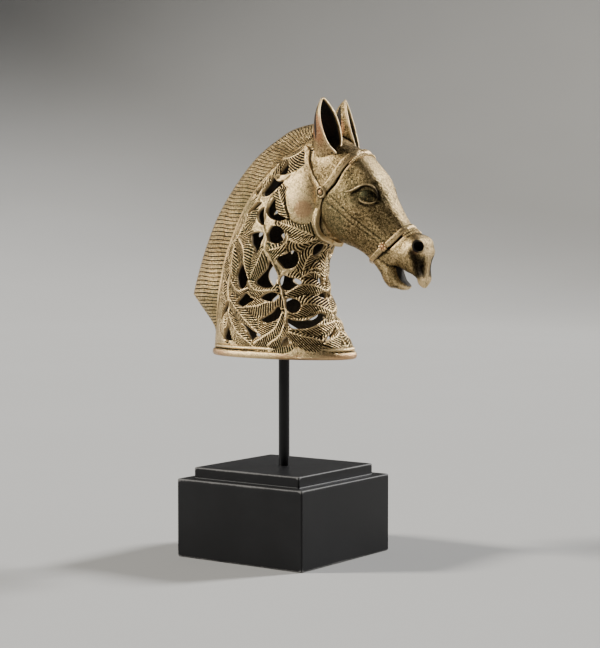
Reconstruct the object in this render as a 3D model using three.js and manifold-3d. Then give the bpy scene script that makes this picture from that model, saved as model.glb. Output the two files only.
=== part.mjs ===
// Horse head in openwork bronze on a rod and a stepped base.
// Millimetres, +Z up. The horse looks along +X and its left side is +Y.
// The origin is the centre of the base's underside.
import * as THREE from 'three';
import { mergeVertices } from 'three/addons/utils/BufferGeometryUtils.js';
import Module from 'manifold-3d';

const wasm = await Module();
wasm.setup();

// Driving dimensions of the stand
const blockWidth = 111;
const blockHeight = 57;
const slabWidth = 93.4;
const slabHeight = 8;
const edgeBevel = 0.8;
const rodDiameter = 8;
const rodShowing = 80;
const rodInBase = 30;
const rodInSocket = 10;
const fitClearance = 0.3;

// Driving dimensions of the casting
const castingHeight = 185.2;
const wallThickness = 2.4;
const bridgeWidth = 14;
const bridgeThickness = 4;
const bossWall = 3.7;
const bossRoof = 3;
const ribPitch = 3.3;
const ribDepth = 0.8;
const strapThickness = 1.6;

// The figure is drawn 185.2 high and every place in it is a share of that height
const drawnHeight = 185.2;
const figureScale = castingHeight / drawnHeight;
const baseHeight = blockHeight + slabHeight;
const collarLevel = baseHeight + rodShowing;
const wallDrawn = wallThickness / figureScale;
const overcut = 4;

// Smooth curve through [place, value] pairs that stays between its neighbours
function through(...pairs) {
  const places = pairs.map((pair) => pair[0]);
  const values = pairs.map((pair) => pair[1]);
  const last = pairs.length - 1;
  const steps = [];
  for (let i = 0; i < last; i++) {
    steps.push((values[i + 1] - values[i]) / (places[i + 1] - places[i]));
  }
  const slopes = values.map((_, i) => {
    const before = steps[Math.max(i - 1, 0)];
    const after = steps[Math.min(i, last - 1)];
    return before * after <= 0 ? 0 : (2 * before * after) / (before + after);
  });
  return (place) => {
    const x = THREE.MathUtils.clamp(place, places[0], places[last]);
    let i = 0;
    while (i < last - 1 && places[i + 1] < x) i++;
    const span = places[i + 1] - places[i];
    const t = (x - places[i]) / span;
    const rise = values[i + 1] - values[i];
    const ease = t * t * (3 - 2 * t);
    const lead = t * (1 - t) * (1 - t) * slopes[i] * span;
    const trail = t * t * (t - 1) * slopes[i + 1] * span;
    return values[i] + rise * ease + lead + trail;
  };
}

// A list of evenly spaced numbers, both ends included
function spaced(from, to, count) {
  return Array.from({ length: count }, (_, i) => from + ((to - from) * i) / (count - 1));
}

// Turns points and faces into a solid, with its faces outward
function solidOf(points, faces) {
  const geometry = new THREE.BufferGeometry();
  const places = points.flatMap((p) => p.toArray());
  geometry.setAttribute('position', new THREE.Float32BufferAttribute(places, 3));
  geometry.setIndex(faces);
  return solidOfGeometry(geometry);
}

function solidOfGeometry(source) {
  let geometry = source.clone();
  geometry.deleteAttribute('normal');
  geometry.deleteAttribute('uv');
  geometry = mergeVertices(geometry, 1e-4);
  const position = geometry.getAttribute('position');
  const index = geometry.getIndex().array;
  const corner = (i) => new THREE.Vector3().fromBufferAttribute(position, i);
  const kept = [];
  let volume = 0;
  for (let i = 0; i < index.length; i += 3) {
    const [a, b, c] = [index[i], index[i + 1], index[i + 2]];
    if (a === b || b === c || c === a) continue;
    kept.push([a, b, c]);
    volume += corner(a).dot(corner(b).cross(corner(c)));
  }
  const triangles = volume < 0 ? kept.map(([a, b, c]) => [a, c, b]) : kept;
  return new wasm.Manifold(new wasm.Mesh({
    numProp: 3,
    vertProperties: new Float32Array(position.array),
    triVerts: new Uint32Array(triangles.flat()),
  }));
}

// Solid skin over rings of points, each end closed to its centre
function skin(rings) {
  const around = rings[0].length;
  const points = rings.flat();
  const faces = [];
  for (let k = 0; k < rings.length - 1; k++) {
    for (let j = 0; j < around; j++) {
      const a = k * around + j;
      const b = k * around + ((j + 1) % around);
      faces.push(a, b, b + around, a, b + around, a + around);
    }
  }
  const ends = [[0, rings[0]], [(rings.length - 1) * around, rings[rings.length - 1]]];
  ends.forEach(([start, ring], side) => {
    const centre = ring.reduce((sum, p) => sum.add(p), new THREE.Vector3()).divideScalar(around);
    const middle = points.push(centre) - 1;
    for (let j = 0; j < around; j++) {
      const here = start + j;
      const next = start + ((j + 1) % around);
      faces.push(...(side === 0 ? [next, here, middle] : [here, next, middle]));
    }
  });
  return solidOf(points, faces);
}

function joined(solids) {
  return solids.reduce((whole, piece) => whole.add(piece));
}

function geometryOf(solid) {
  const mesh = solid.getMesh();
  const geometry = new THREE.BufferGeometry();
  const places = new Float32Array(mesh.vertProperties);
  geometry.setAttribute('position', new THREE.BufferAttribute(places, 3));
  geometry.setIndex(new THREE.BufferAttribute(new Uint32Array(mesh.triVerts), 1));
  const loose = geometry.toNonIndexed();
  loose.computeVertexNormals();
  return loose;
}

const mirrored = (p) => new THREE.Vector3(p.x, -p.y, p.z);
const bothSides = [(p) => p, mirrored];

// The neck: front and back lines and half width by height over the collar's underside
const neckBack = through(
  [0, -61], [11, -60.5], [23, -59.5], [37, -58], [54, -55], [73, -50], [93, -42], [112, -31],
  [130, -15], [144, 3], [155, 24],
);
const neckFront = through(
  [0, 59.5], [7, 56.5], [13, 52], [21, 47.5], [31, 43], [41, 39.3], [51, 36], [61, 34.5], [69, 35.2],
  [75, 37.5], [81, 42], [87, 48], [155, 50],
);
const neckHalfWidth = through(
  [0, 31], [11, 29.5], [23, 27], [39, 25], [55, 24], [75, 23.5], [95, 22], [115, 20], [135, 16], [155, 10],
);
const chestFullness = 0.14;

// Section at one height: an oval that is fuller in front, angle 0 at the chest, on the horse's right
function neckPoint(angle, height, inset = 0) {
  const front = neckFront(height) - inset;
  const back = neckBack(height) + inset;
  const x = (front + back) / 2 + ((front - back) / 2) * Math.cos(angle);
  const fullness = 1 + chestFullness * Math.cos(angle);
  return new THREE.Vector3(x, -(neckHalfWidth(height) - inset) * Math.sin(angle) * fullness, height);
}

function neckNormal(angle, height) {
  const step = 0.01;
  const around = neckPoint(angle + step, height).sub(neckPoint(angle - step, height));
  const up = neckPoint(angle, height + 1).sub(neckPoint(angle, height - 1));
  return up.cross(around).normalize();
}

// Angle reached after going some millimetres around the section from the chest line
function angleAfter(distance, height) {
  const step = Math.PI / 90;
  const way = Math.sign(distance);
  let angle = 0;
  let gone = 0;
  while (gone < Math.abs(distance)) {
    const stride = neckPoint(angle, height).distanceTo(neckPoint(angle + step, height));
    const part = Math.min(1, (Math.abs(distance) - gone) / stride);
    angle += step * part;
    gone += stride * part + 1e-9;
  }
  return way * angle;
}

// Place on the neck: around and height in millimetres, lifted off the surface
function onNeck(around, height, lift) {
  const angle = angleAfter(around, height);
  return neckPoint(angle, height).addScaledVector(neckNormal(angle, height), lift);
}

// Openings of the tracery on one side: around, height, length, width, turn of the long axis
// in degrees from backward to upward, share of the length that the axis bends, and its form
const openings = [
  [45.3, 136.9, 12.8, 8.3, 120, 0.04, 'drop'],
  [57.6, 121.8, 21.5, 11.6, 158, -0.02, 'oval'],
  [71.7, 120.9, 13.4, 4.8, 140, -0.04, 'lens'],
  [72.6, 107.7, 16.2, 3.7, -32, 0.06, 'oval'],
  [63.1, 101.8, 14, 8.8, -100, 0.18, 'oval'],
  [49.5, 106.5, 20.5, 12.4, -138, 0.25, 'drop'],
  [49.3, 87.7, 18.4, 13.1, -150, -0.07, 'oval'],
  [65.3, 80.2, 25.9, 9.7, -137, -0.19, 'drop'],
  [83, 68.2, 15.3, 4.7, 92, 0.03, 'lens'],
  [68.6, 58.3, 20.4, 13.3, 97, 0, 'oval'],
  [48.3, 62.3, 22.5, 13.6, 127, 0.41, 'oval'],
  [28.4, 69.7, 16.6, 13.9, 14, 0.09, 'oval'],
  [26, 54.1, 18.9, 12.1, 173, -0.02, 'drop'],
  [69.2, 41.2, 20, 9.4, 161, 0, 'lens'],
  [44.6, 44.2, 17.7, 7.5, 172, 0, 'lens'],
  [94.8, 33.5, 21.6, 5.6, 140, 0.01, 'lens'],
  [50.7, 33, 27.6, 7.8, -19, -0.2, 'drop'],
  [28.6, 38.1, 13.3, 12.9, -22, 0.02, 'lens'],
  [23.2, 29.2, 35.7, 8.2, -13, -0.12, 'lens'],
  [5.5, 45.6, 7.5, 5, 165, 0, 'oval'],
  [70, 20.9, 14, 9.1, -147, 0.34, 'lens'],
  [100.6, 18.1, 16.9, 8.5, -45, -0.22, 'lens'],
  [43.4, 12.9, 5.8, 10.7, -108, 0.28, 'lens'],
  [10.7, 16.2, 19, 2.4, -32, 0, 'lens'],
  [9.6, 78.3, 10.8, 9.5, 32, -0.07, 'oval'],
];

const halfWidthOf = {
  oval: (s) => Math.sqrt(Math.max(0, 1 - s * s)),
  lens: (s) => 1 - s * s,
  drop: (s) => 0.77 * Math.sqrt(Math.max(0, 1 - s * s)) * (1 - s),
};

// One opening's plug, pushed through the wall along the surface's own normals
function openingPlug([around, height, length, width, turn, bend, form], place) {
  const stations = length * width < 60 ? [0] : [-0.6, 0.35];
  const back = stations.toReversed().map((s) => [s, -1]);
  const outline = [[-1, 1], ...stations.map((s) => [s, 1]), [1, 1], ...back];
  const angle = THREE.MathUtils.degToRad(turn);
  const ring = (lift) => outline.map(([s, side]) => {
    const along = (s * length) / 2;
    const across = (side * halfWidthOf[form](s) * width) / 2 + bend * length * (1 - s * s);
    const a = around + along * Math.cos(angle) - across * Math.sin(angle);
    const h = height + along * Math.sin(angle) + across * Math.cos(angle);
    return place(onNeck(a, h, lift));
  });
  return skin([ring(-wallDrawn - overcut), ring(overcut)]);
}

// Leaves of the tracery on one side: stalk, middle and tip as around, height, then the width
const leaves = [
  [37, 100, 44, 110, 49, 121, 9], [20, 88, 32, 93, 46, 97, 9], [51, 79, 52, 69, 59, 57, 10],
  [86, 85, 70, 77, 61, 57, 10], [60, 55, 55, 49, 38, 49, 8], [36, 45, 55, 38, 72, 36, 10],
  [86, 42, 74, 29, 64, 18, 12], [89, 33, 86, 20, 78, 11, 12], [37, 34, 48, 22, 68, 11, 11],
  [32, 46, 16, 53, 3, 49, 9], [34, 33, 17, 39, 3, 34, 9], [40, 20, 29, 15, 18, 11, 8],
];
const leafRise = 0.9;
const leafSunk = 0.5;

// A leaf stands off the wall as a low roof along its bent midrib
function leaf([a0, h0, a1, h1, a2, h2, width], place) {
  const midrib = new THREE.QuadraticBezierCurve(
    new THREE.Vector2(a0, h0),
    new THREE.Vector2(2 * a1 - (a0 + a2) / 2, 2 * h1 - (h0 + h2) / 2),
    new THREE.Vector2(a2, h2),
  );
  const rings = [0.03, 0.4, 0.75, 0.97].map((t) => {
    const spot = midrib.getPoint(t);
    const way = midrib.getTangent(t);
    const half = (width / 2) * Math.sin(Math.PI * t ** 0.8);
    const across = (offset) => [spot.x - way.y * offset, spot.y + way.x * offset];
    const beside = (offset, lift) => place(onNeck(...across(offset), lift));
    return [beside(half, -leafSunk), beside(0, leafRise), beside(-half, -leafSunk)];
  });
  return skin(rings);
}

// The mane: crest line and root line as x, height, joined by the ribs
const crestLine = new THREE.CatmullRomCurve3([
  [27, 168], [14, 165.7], [2.7, 161.6], [-23, 145.8], [-44, 124.4], [-60.6, 101.6], [-71.5, 79.2],
  [-78.5, 61], [-84, 44], [-73, 32], [-62, 21],
].map(([x, z]) => new THREE.Vector3(x, 0, z)), false, 'centripetal');
const rootLine = new THREE.CatmullRomCurve3([
  [33, 155], [26, 153], [19, 150], [-2, 135], [-19.5, 118.4], [-32, 98.5], [-41, 78.4],
  [-46, 63], [-50.5, 46], [-53, 33], [-55, 21],
].map(([x, z]) => new THREE.Vector3(x, 0, z)), false, 'centripetal');
const maneEdgeHalf = 2.8;
const maneRootHalf = 9.5;
const maneBury = 5;

function mane() {
  const ribs = Math.round((crestLine.getLength() * figureScale) / ribPitch);
  const depth = ribDepth / figureScale;
  const rings = spaced(0, 1, 2 * ribs + 1).map((t, row) => {
    const crest = crestLine.getPoint(t);
    const root = rootLine.getPoint(t);
    const cut = row % 2 === 0 ? depth : 0;
    const way = crest.clone().sub(root).normalize();
    const inner = root.clone().addScaledVector(way, -maneBury);
    const edge = crest.clone().addScaledVector(way, -cut);
    const at = (p, y) => new THREE.Vector3(p.x, y, p.z);
    return [
      at(inner, -maneRootHalf), at(edge, cut - maneEdgeHalf),
      at(edge, maneEdgeHalf - cut), at(inner, maneRootHalf),
    ];
  });
  return skin(rings);
}

// The head: top and bottom lines, half width and lean by distance along its sloping axis
const headSlope = THREE.MathUtils.degToRad(37);
const headStart = new THREE.Vector3(45, 0, 120);
const headTop = through(
  [-30, 12], [-26, 22], [-17, 30.5], [-6, 35.5], [6.5, 36.3], [18, 35], [28, 32.6], [37.5, 28.5],
  [47.5, 23.5], [58, 19.8], [67, 17.6], [73, 17.6], [78, 18.6], [83, 17.6], [88, 13.5], [92, 8], [96, 1],
  [99.5, -5], [101, -8],
);
const headBottom = through(
  [-30, -2], [-20, -10], [-5, -18], [10, -23], [21.5, -24.5], [32, -23.5], [42, -20.5], [50, -19.5],
  [60, -20.2], [68, -22], [75, -25.5], [81, -26], [86, -24], [91, -17], [96, -12], [101, -9],
);
const headHalfWidth = through(
  [-30, 9], [-20, 14], [-8, 17.5], [6, 19], [20, 19.5], [33, 19], [42, 17.2], [50, 15], [58, 13], [66, 11.8],
  [74, 11.6], [82, 13], [88, 12.8], [94, 10.5], [98, 7.5], [101, 2],
);
const headLean = 0.1;
const headSquareness = 0.8;

// Place by distance along the head's axis and height over it
function inHead(along, y, height) {
  const ahead = along * Math.cos(headSlope) + height * Math.sin(headSlope);
  const up = height * Math.cos(headSlope) - along * Math.sin(headSlope);
  return new THREE.Vector3(headStart.x + ahead, y, headStart.z + up);
}

function headPoint(along, angle) {
  const middle = (headTop(along) + headBottom(along)) / 2;
  const half = (headTop(along) - headBottom(along)) / 2;
  const side = Math.sign(Math.sin(angle)) * Math.abs(Math.sin(angle)) ** headSquareness;
  const y = -headHalfWidth(along) * side * (1 + headLean * Math.cos(angle));
  return inHead(along, y, middle + half * Math.cos(angle));
}

function skull() {
  const around = 16;
  const stations = [-30, -26, -17, -4, 10, 22, 33, 44, 54, 64, 73, 79, 84, 89, 94, 98, 101];
  return skin(stations.map((along) => (
    Array.from({ length: around }, (_, j) => headPoint(along, (2 * Math.PI * j) / around))
  )));
}

// The open mouth is a wedge between the lips, wider towards the front
function mouth() {
  const reach = 30;
  const profile = [[77, -8.5], [84, -7], [92, -6.5], [101, -4.5], [108, -14], [93, -14.5], [86, -14]];
  return skin([-reach, reach].map((y) => profile.map(([along, height]) => inHead(along, y, height))));
}

function nostril(place) {
  const outer = 4;
  const ring = (radius, shift) => Array.from({ length: 8 }, (_, j) => {
    const angle = (2 * Math.PI * j) / 8;
    const along = 83 + radius * Math.cos(angle) - shift * 0.35;
    return place(inHead(along, -9 - shift, 14 + radius * 0.85 * Math.sin(angle) + shift * 0.6));
  });
  return skin([ring(2, -6), ring(outer, 0), ring(outer + 1, 5)]);
}

function eye(place) {
  const ball = new THREE.SphereGeometry(1, 8, 5);
  ball.scale(6.2, 4.4, 4.6);
  ball.rotateY(headSlope * 0.6);
  const centre = place(new THREE.Vector3(83.4, -14.4, 116.3));
  ball.translate(centre.x, centre.y, centre.z);
  return solidOfGeometry(ball);
}

// A strap or ridge along points near the surface, narrower on its outer side
const bandBury = 3;
const headCore = 4;
function band(points, width, thickness, place) {
  const route = new THREE.CatmullRomCurve3(points.map(([x, y, z]) => new THREE.Vector3(x, y, z)));
  const stops = spaced(0, 1, points.length);
  const rings = stops.map((t) => {
    const spot = route.getPoint(t);
    const way = route.getTangent(t);
    const ahead = spot.x - headStart.x;
    const above = spot.z - headStart.z;
    const core = inHead(ahead * Math.cos(headSlope) - above * Math.sin(headSlope), 0, headCore);
    const out = spot.clone().sub(core);
    out.addScaledVector(way, -out.dot(way)).normalize();
    const across = way.clone().cross(out);
    const at = (side, lift) => place(spot.clone().addScaledVector(across, side).addScaledVector(out, lift));
    const half = width / 2;
    return [at(-half, -bandBury), at(-half * 0.7, thickness), at(half * 0.7, thickness), at(half, -bandBury)];
  });
  return skin(rings);
}

const strapWidth = 5;
const crownStrap = [
  [27, 0, 164], [28, -7, 158], [30, -11, 148], [33.7, -14.5, 138.6], [39, -17, 130], [46.6, -18, 118],
];
const browStrap = [
  [46.6, -18, 118], [51, -19, 124], [56.7, -18.8, 130.4], [62.3, -17, 137.3], [66, -14.2, 141.5],
  [70, -9.5, 144.5], [73, -4, 145.5], [74, 0.5, 145.5],
];
const throatStrap = [
  [46.6, -18, 118], [40.5, -19, 108], [38.5, -19, 96], [42, -17, 85], [48, -12, 80], [54, 0.5, 80],
];
const noseStrap = [
  [77, 0.5, 69], [80.5, -5, 70], [85.6, -10.3, 74.5], [91.6, -12.2, 78.8], [97.5, -12.3, 82.6],
  [103.3, -10.8, 88], [107.6, -7.4, 92], [110, 0.5, 94],
];
const upperLid = [
  [72, -18.5, 118], [76, -18, 121.5], [82, -16.3, 123.2], [87.5, -13.8, 120.5], [91, -12.8, 114.5],
];

// A round boss where straps meet
function rosette([x, y, z], radius, place) {
  const disc = new THREE.CylinderGeometry(radius * 0.75, radius, 4, 10);
  const centre = place(new THREE.Vector3(x, y, z));
  disc.translate(centre.x, centre.y, centre.z);
  return solidOfGeometry(disc);
}

// An ear: a leaf-shaped cup that opens forward and outward, with a deep back that runs into the poll
const earFoot = new THREE.Vector3(55.9, -13.5, 145.6);
const earTip = new THREE.Vector3(43.8, -14.2, drawnHeight);
const earFacing = new THREE.Vector3(0.94, -0.34, 0.1).normalize();
const earRim = through(
  [-0.25, 2], [0, 1.6], [0.11, 4.6], [0.26, 7], [0.5, 7.9], [0.69, 7], [0.85, 4.5], [1, 0.1],
);
const earGirth = through([-0.25, 9], [0, 9], [0.26, 8.6], [0.5, 8], [0.69, 7], [0.85, 4.5], [1, 0.1]);
const earBack = through(
  [-0.25, 23], [0, 23.5], [0.26, 22], [0.5, 17.5], [0.69, 13], [0.85, 8.5], [0.95, 4], [1, 0.3],
);
const earRimWidth = 1.2;
const earCupShare = 0.6;

// Rings across the ear: two corners on its rim, two on its flanks and one at its back
function earSkin(stations, corners, place) {
  const axis = earTip.clone().sub(earFoot);
  const side = earFacing.clone().cross(axis).normalize();
  const front = axis.clone().cross(side).normalize();
  const at = (t, [across, ahead]) => (
    earFoot.clone().addScaledVector(axis, t).addScaledVector(side, across).addScaledVector(front, ahead)
  );
  return skin(stations.map((t) => corners(t).map((corner) => place(at(t, corner)))));
}

function earSolid(place) {
  const corners = (t) => {
    const [rim, girth, back] = [earRim(t), earGirth(t), earBack(t)];
    return [[rim, 0], [girth * 0.85, -back * 0.55], [0, -back], [-girth * 0.85, -back * 0.55], [-rim, 0]];
  };
  return earSkin([-0.25, 0, 0.26, 0.5, 0.69, 0.85, 1], corners, place);
}

function earCup(place) {
  const corners = (t) => {
    const rim = Math.max(earRim(t) - earRimWidth, 0.3);
    const back = Math.max(earBack(t) * earCupShare - earRimWidth, 0.5);
    return [[rim, 0.5], [rim * 0.8, -back * 0.55], [0, -back], [-rim * 0.8, -back * 0.55], [-rim, 0.5]];
  };
  return earSkin([0.04, 0.26, 0.5, 0.69, 0.9], corners, place);
}

function collar() {
  const steps = 24;
  const profile = [[0, 0], [0.9, 1.6], [0.5, 4.4], [-1.5, 5.4], [-0.5, 6.8], [-1.8, 8.4]];
  const ring = ([out, height]) => Array.from({ length: steps }, (_, j) => {
    const angle = (2 * Math.PI * j) / steps;
    return new THREE.Vector3(-0.5 + (59.6 + out) * Math.cos(angle), (31.6 + out) * Math.sin(angle), height);
  });
  return skin(profile.map(ring));
}

// The neck's outer form and the hollow inside it
function neckBody(inset, levels, around) {
  return skin(levels.map(([height, shrink]) => (
    Array.from({ length: around }, (_, j) => neckPoint((2 * Math.PI * j) / around, height, inset + shrink))
  )));
}

function neckSolid() {
  const levels = [2, 13, 26, 44, 62, 76, 88, 108, 132, 155];
  return neckBody(0, levels.map((height) => [height, 0]), 24);
}

function neckHollow() {
  const levels = [[-1, 0], [14, 0], [40, 0], [65, 0], [88, 0], [116, 0], [139, 0], [145, 4]];
  return neckBody(wallDrawn, levels, 16);
}

// The rod's seat: a bar across the collar's open foot with a boss on it
function rodSeat() {
  const barLength = 2 * neckHalfWidth(0) * figureScale - wallThickness;
  const bar = new THREE.BoxGeometry(bridgeWidth, barLength, bridgeThickness);
  bar.translate(0, 0, fitClearance + bridgeThickness / 2);
  const bossHeight = rodInSocket + fitClearance + bossRoof;
  const boss = new THREE.CylinderGeometry(socketRadius + bossWall, socketRadius + bossWall, bossHeight, 24);
  boss.rotateX(Math.PI / 2).translate(0, 0, fitClearance + bossHeight / 2);
  const boreHeight = rodInSocket + fitClearance + overcut;
  const bore = new THREE.CylinderGeometry(socketRadius, socketRadius, boreHeight, 24);
  bore.rotateX(Math.PI / 2).translate(0, 0, boreHeight / 2 - overcut + fitClearance);
  return solidOfGeometry(bar).add(solidOfGeometry(boss)).subtract(solidOfGeometry(bore));
}

const socketRadius = rodDiameter / 2 + fitClearance;

function horseHead() {
  const rightThenLeft = (make) => bothSides.map((place) => make(place));
  const relief = bothSides.flatMap((place) => leaves.map((row) => leaf(row, place)));
  const tack = bothSides.flatMap((place) => [
    band(crownStrap, strapWidth, strapThickness, place), band(browStrap, strapWidth, strapThickness, place),
    band(throatStrap, strapWidth, strapThickness, place), band(noseStrap, strapWidth, strapThickness, place),
    band(upperLid, 1.8, 1.4, place),
    rosette([46.6, -18, 118], 4.2, place), rosette([91.6, -12.2, 78.8], 3.4, place),
  ]);
  const ears = rightThenLeft(earSolid);
  const earCups = rightThenLeft(earCup);
  const eyes = rightThenLeft(eye);
  const nostrils = rightThenLeft(nostril);
  const plugs = bothSides.flatMap((place) => openings.map((row) => openingPlug(row, place)));
  const shell = joined([neckSolid(), mane(), collar(), skull(), ...ears, ...eyes, ...tack, ...relief]);
  const carved = shell.subtract(joined([mouth(), ...nostrils, ...earCups]));
  const hollow = carved.subtract(neckHollow()).subtract(joined(plugs));
  return hollow.scale(figureScale).add(rodSeat());
}

// A square plate with its edges eased
function plate(width, height) {
  const half = width / 2 - edgeBevel;
  const outline = new THREE.Shape([[-half, -half], [half, -half], [half, half], [-half, half]]
    .map(([x, y]) => new THREE.Vector2(x, y)));
  const bevel = { bevelThickness: edgeBevel, bevelSize: edgeBevel, bevelSegments: 1 };
  const geometry = new THREE.ExtrudeGeometry(outline, { depth: height - 2 * edgeBevel, ...bevel });
  return geometry.translate(0, 0, edgeBevel);
}

function steppedBase() {
  const slab = plate(slabWidth, slabHeight + 2 * edgeBevel).translate(0, 0, blockHeight - 2 * edgeBevel);
  const bore = new THREE.CylinderGeometry(socketRadius, socketRadius, rodInBase + fitClearance + overcut, 24);
  bore.rotateX(Math.PI / 2).translate(0, 0, baseHeight + (overcut - rodInBase - fitClearance) / 2);
  const block = solidOfGeometry(plate(blockWidth, blockHeight));
  return block.add(solidOfGeometry(slab)).subtract(solidOfGeometry(bore));
}

function supportRod() {
  const length = rodInBase + rodShowing + fitClearance + rodInSocket;
  const rod = new THREE.CylinderGeometry(rodDiameter / 2, rodDiameter / 2, length, 24);
  return rod.rotateX(Math.PI / 2).translate(0, 0, baseHeight - rodInBase + length / 2);
}

const bronze = new THREE.MeshStandardMaterial({ color: 0x8a7a55, roughness: 0.5, metalness: 0.85 });
const blackPaint = new THREE.MeshStandardMaterial({ color: 0x0e0e0f, roughness: 0.45, metalness: 0 });
const blackMetal = new THREE.MeshStandardMaterial({ color: 0x141414, roughness: 0.4, metalness: 0.8 });

function named(name, geometry, material) {
  const mesh = new THREE.Mesh(geometry, material);
  mesh.name = name;
  return mesh;
}

const sculpture = new THREE.Group();
const head = named('horse_head', geometryOf(horseHead()), bronze);
head.position.z = collarLevel;
sculpture.add(head);
sculpture.add(named('support_rod', geometryOf(solidOfGeometry(supportRod())), blackMetal));
sculpture.add(named('stepped_base', geometryOf(steppedBase()), blackPaint));

export default sculpture;
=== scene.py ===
import bpy
import numpy as np
from mathutils import Matrix


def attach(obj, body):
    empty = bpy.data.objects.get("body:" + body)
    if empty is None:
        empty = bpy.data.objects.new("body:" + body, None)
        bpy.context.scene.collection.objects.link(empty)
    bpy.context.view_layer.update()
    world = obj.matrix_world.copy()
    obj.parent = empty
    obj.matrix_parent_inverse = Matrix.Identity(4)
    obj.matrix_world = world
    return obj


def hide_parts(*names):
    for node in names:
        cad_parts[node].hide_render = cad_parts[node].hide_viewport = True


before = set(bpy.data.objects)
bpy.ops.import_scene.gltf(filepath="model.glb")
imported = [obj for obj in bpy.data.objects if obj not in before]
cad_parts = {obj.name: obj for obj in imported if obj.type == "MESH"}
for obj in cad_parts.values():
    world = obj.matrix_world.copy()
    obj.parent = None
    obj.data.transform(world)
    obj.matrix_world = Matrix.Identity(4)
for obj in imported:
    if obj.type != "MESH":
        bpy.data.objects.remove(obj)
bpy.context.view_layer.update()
metre = 0.001          # everything below is in millimetres until it goes into a mesh
collarLevel = 145.0    # the casting's own heights are counted from here
print("frame loaded")


# Curves, paths and meshes

curves = dict(spacing=0.6, steps=24)   # power of the chords that times a path's points, fine steps for each chord


# Cubic between entries i and i + 1 at the share s: y0 + (y1 - y0) (3 - 2s) s^2 + h s (1 - s) ((1 - s) m0 - s m1)
def cubic(y, m, i, s, h):
    return y[i] + (y[i + 1] - y[i]) * (3 - 2 * s) * s * s + h * s * (1 - s) * ((1 - s) * m[i] - s * m[i + 1])


# Monotone cubic through the points: each slope is the weighted harmonic mean of its two chords
def through(points):
    x, y = np.array(points, float).T
    h = np.diff(x)
    d = np.diff(y) / h
    m = np.zeros_like(y)
    same = d[:-1] * d[1:] > 0
    left, right = 2 * h[1:] + h[:-1], h[1:] + 2 * h[:-1]
    chord = np.where(same, left / np.where(same, d[:-1], 1) + right / np.where(same, d[1:], 1), 1)
    m[1:-1] = np.where(same, (left + right) / chord, 0)
    m[0], m[-1] = d[0], d[-1]

    def value(t):
        t = np.clip(t, x[0], x[-1])
        i = np.clip(np.searchsorted(x, t, side="right") - 1, 0, len(h) - 1)
        return cubic(y, m, i, (t - x[i]) / h[i], h[i])
    return value


# 0 below low, 1 above high, with the cubic 3t2 - 2t3 between
def ease(value, low, high):
    t = np.clip((value - low) / (high - low), 0, 1)
    return t * t * (3 - 2 * t)


# The angles 2 pi i / count
def aroundFull(count):
    return np.linspace(0, 2 * np.pi, count, endpoint=False)


# v / |v|
def unit(v):
    return v / np.maximum(np.linalg.norm(v, axis=-1, keepdims=True), 1e-9)


# The sum of |step| ^ power up to each point of a path
def runAlong(path, power=1):
    return np.concatenate([[0], np.cumsum(np.linalg.norm(np.diff(path, axis=0), axis=1) ** power)])


# Cubic path through the points, each slope (next - previous) / (their times), cut at count even lengths
def smoothPath(points, count, closed=False):
    p = np.array(points, float)
    if closed:
        p = np.vstack([p[-2:], p, p[:3]])
    t = runAlong(p, curves["spacing"])
    m = np.empty_like(p)
    m[1:-1] = (p[2:] - p[:-2]) / (t[2:] - t[:-2])[:, None]
    m[0], m[-1] = (p[1] - p[0]) / (t[1] - t[0]), (p[-1] - p[-2]) / (t[-1] - t[-2])
    first, last = (2, len(p) - 3) if closed else (0, len(p) - 1)
    fine = np.linspace(t[first], t[last], curves["steps"] * (last - first) + 1)
    i = np.clip(np.searchsorted(t, fine, side="right") - 1, first, last - 1)
    h = (t[i + 1] - t[i])[:, None]
    q = cubic(p, m, i, (fine - t[i])[:, None] / h, h)
    run = runAlong(q)
    even = np.linspace(0, run[-1], count + 1)[:-1] if closed else np.linspace(0, run[-1], count)
    return np.stack([np.interp(even, run, q[:, k]) for k in range(q.shape[1])], -1)


# Faces of a grid of n closed rings of m points: (i, j), (i, j+1), (i+1, j+1), (i+1, j)
def gridFaces(n, m, rows):
    i, j = np.meshgrid(np.arange(rows), np.arange(m), indexing="ij")
    a, b = (i + 1) % n, (j + 1) % m
    return np.stack([i * m + j, i * m + b, a * m + b, a * m + j], -1).reshape(-1, 4)


# Rings joined row to row, with the mean of the first and of the last ring as the two poles
def lofted(rings):
    n, m = rings.shape[:2]
    points = np.concatenate([rings.reshape(-1, 3), rings[:1].mean(1), rings[-1:].mean(1)])
    j = np.arange(m)
    k = (j + 1) % m
    first = np.stack([np.full(m, n * m), k, j], -1)
    last = np.stack([np.full(m, n * m + 1), (n - 1) * m + j, (n - 1) * m + k], -1)
    return outward(points, [gridFaces(n, m, n - 1), first, last])


# Rings joined row to row and the last row to the first, like a tyre
def tyre(rings):
    n, m = rings.shape[:2]
    return outward(rings.reshape(-1, 3), [gridFaces(n, m, n)])


# The enclosed volume is a sixth of the sum of a . (b x c); below zero the faces are turned round
def outward(points, blocks):
    total = 0
    for f in blocks:
        for k in range(2, f.shape[1]):
            a, b, c = points[f[:, 0]], points[f[:, k - 1]], points[f[:, k]]
            total += np.einsum("ij,ij->", a, np.cross(b, c))
    return points, [f if total > 0 else f[:, ::-1] for f in blocks]


# (x, y, z) becomes (x, -y, z), and the faces turn round
def mirrored(part):
    points, blocks = part
    return points * [1, -1, 1], [f[:, ::-1] for f in blocks]


# A part and its mirror image
def bothSides(part):
    return [part, mirrored(part)]


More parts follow.
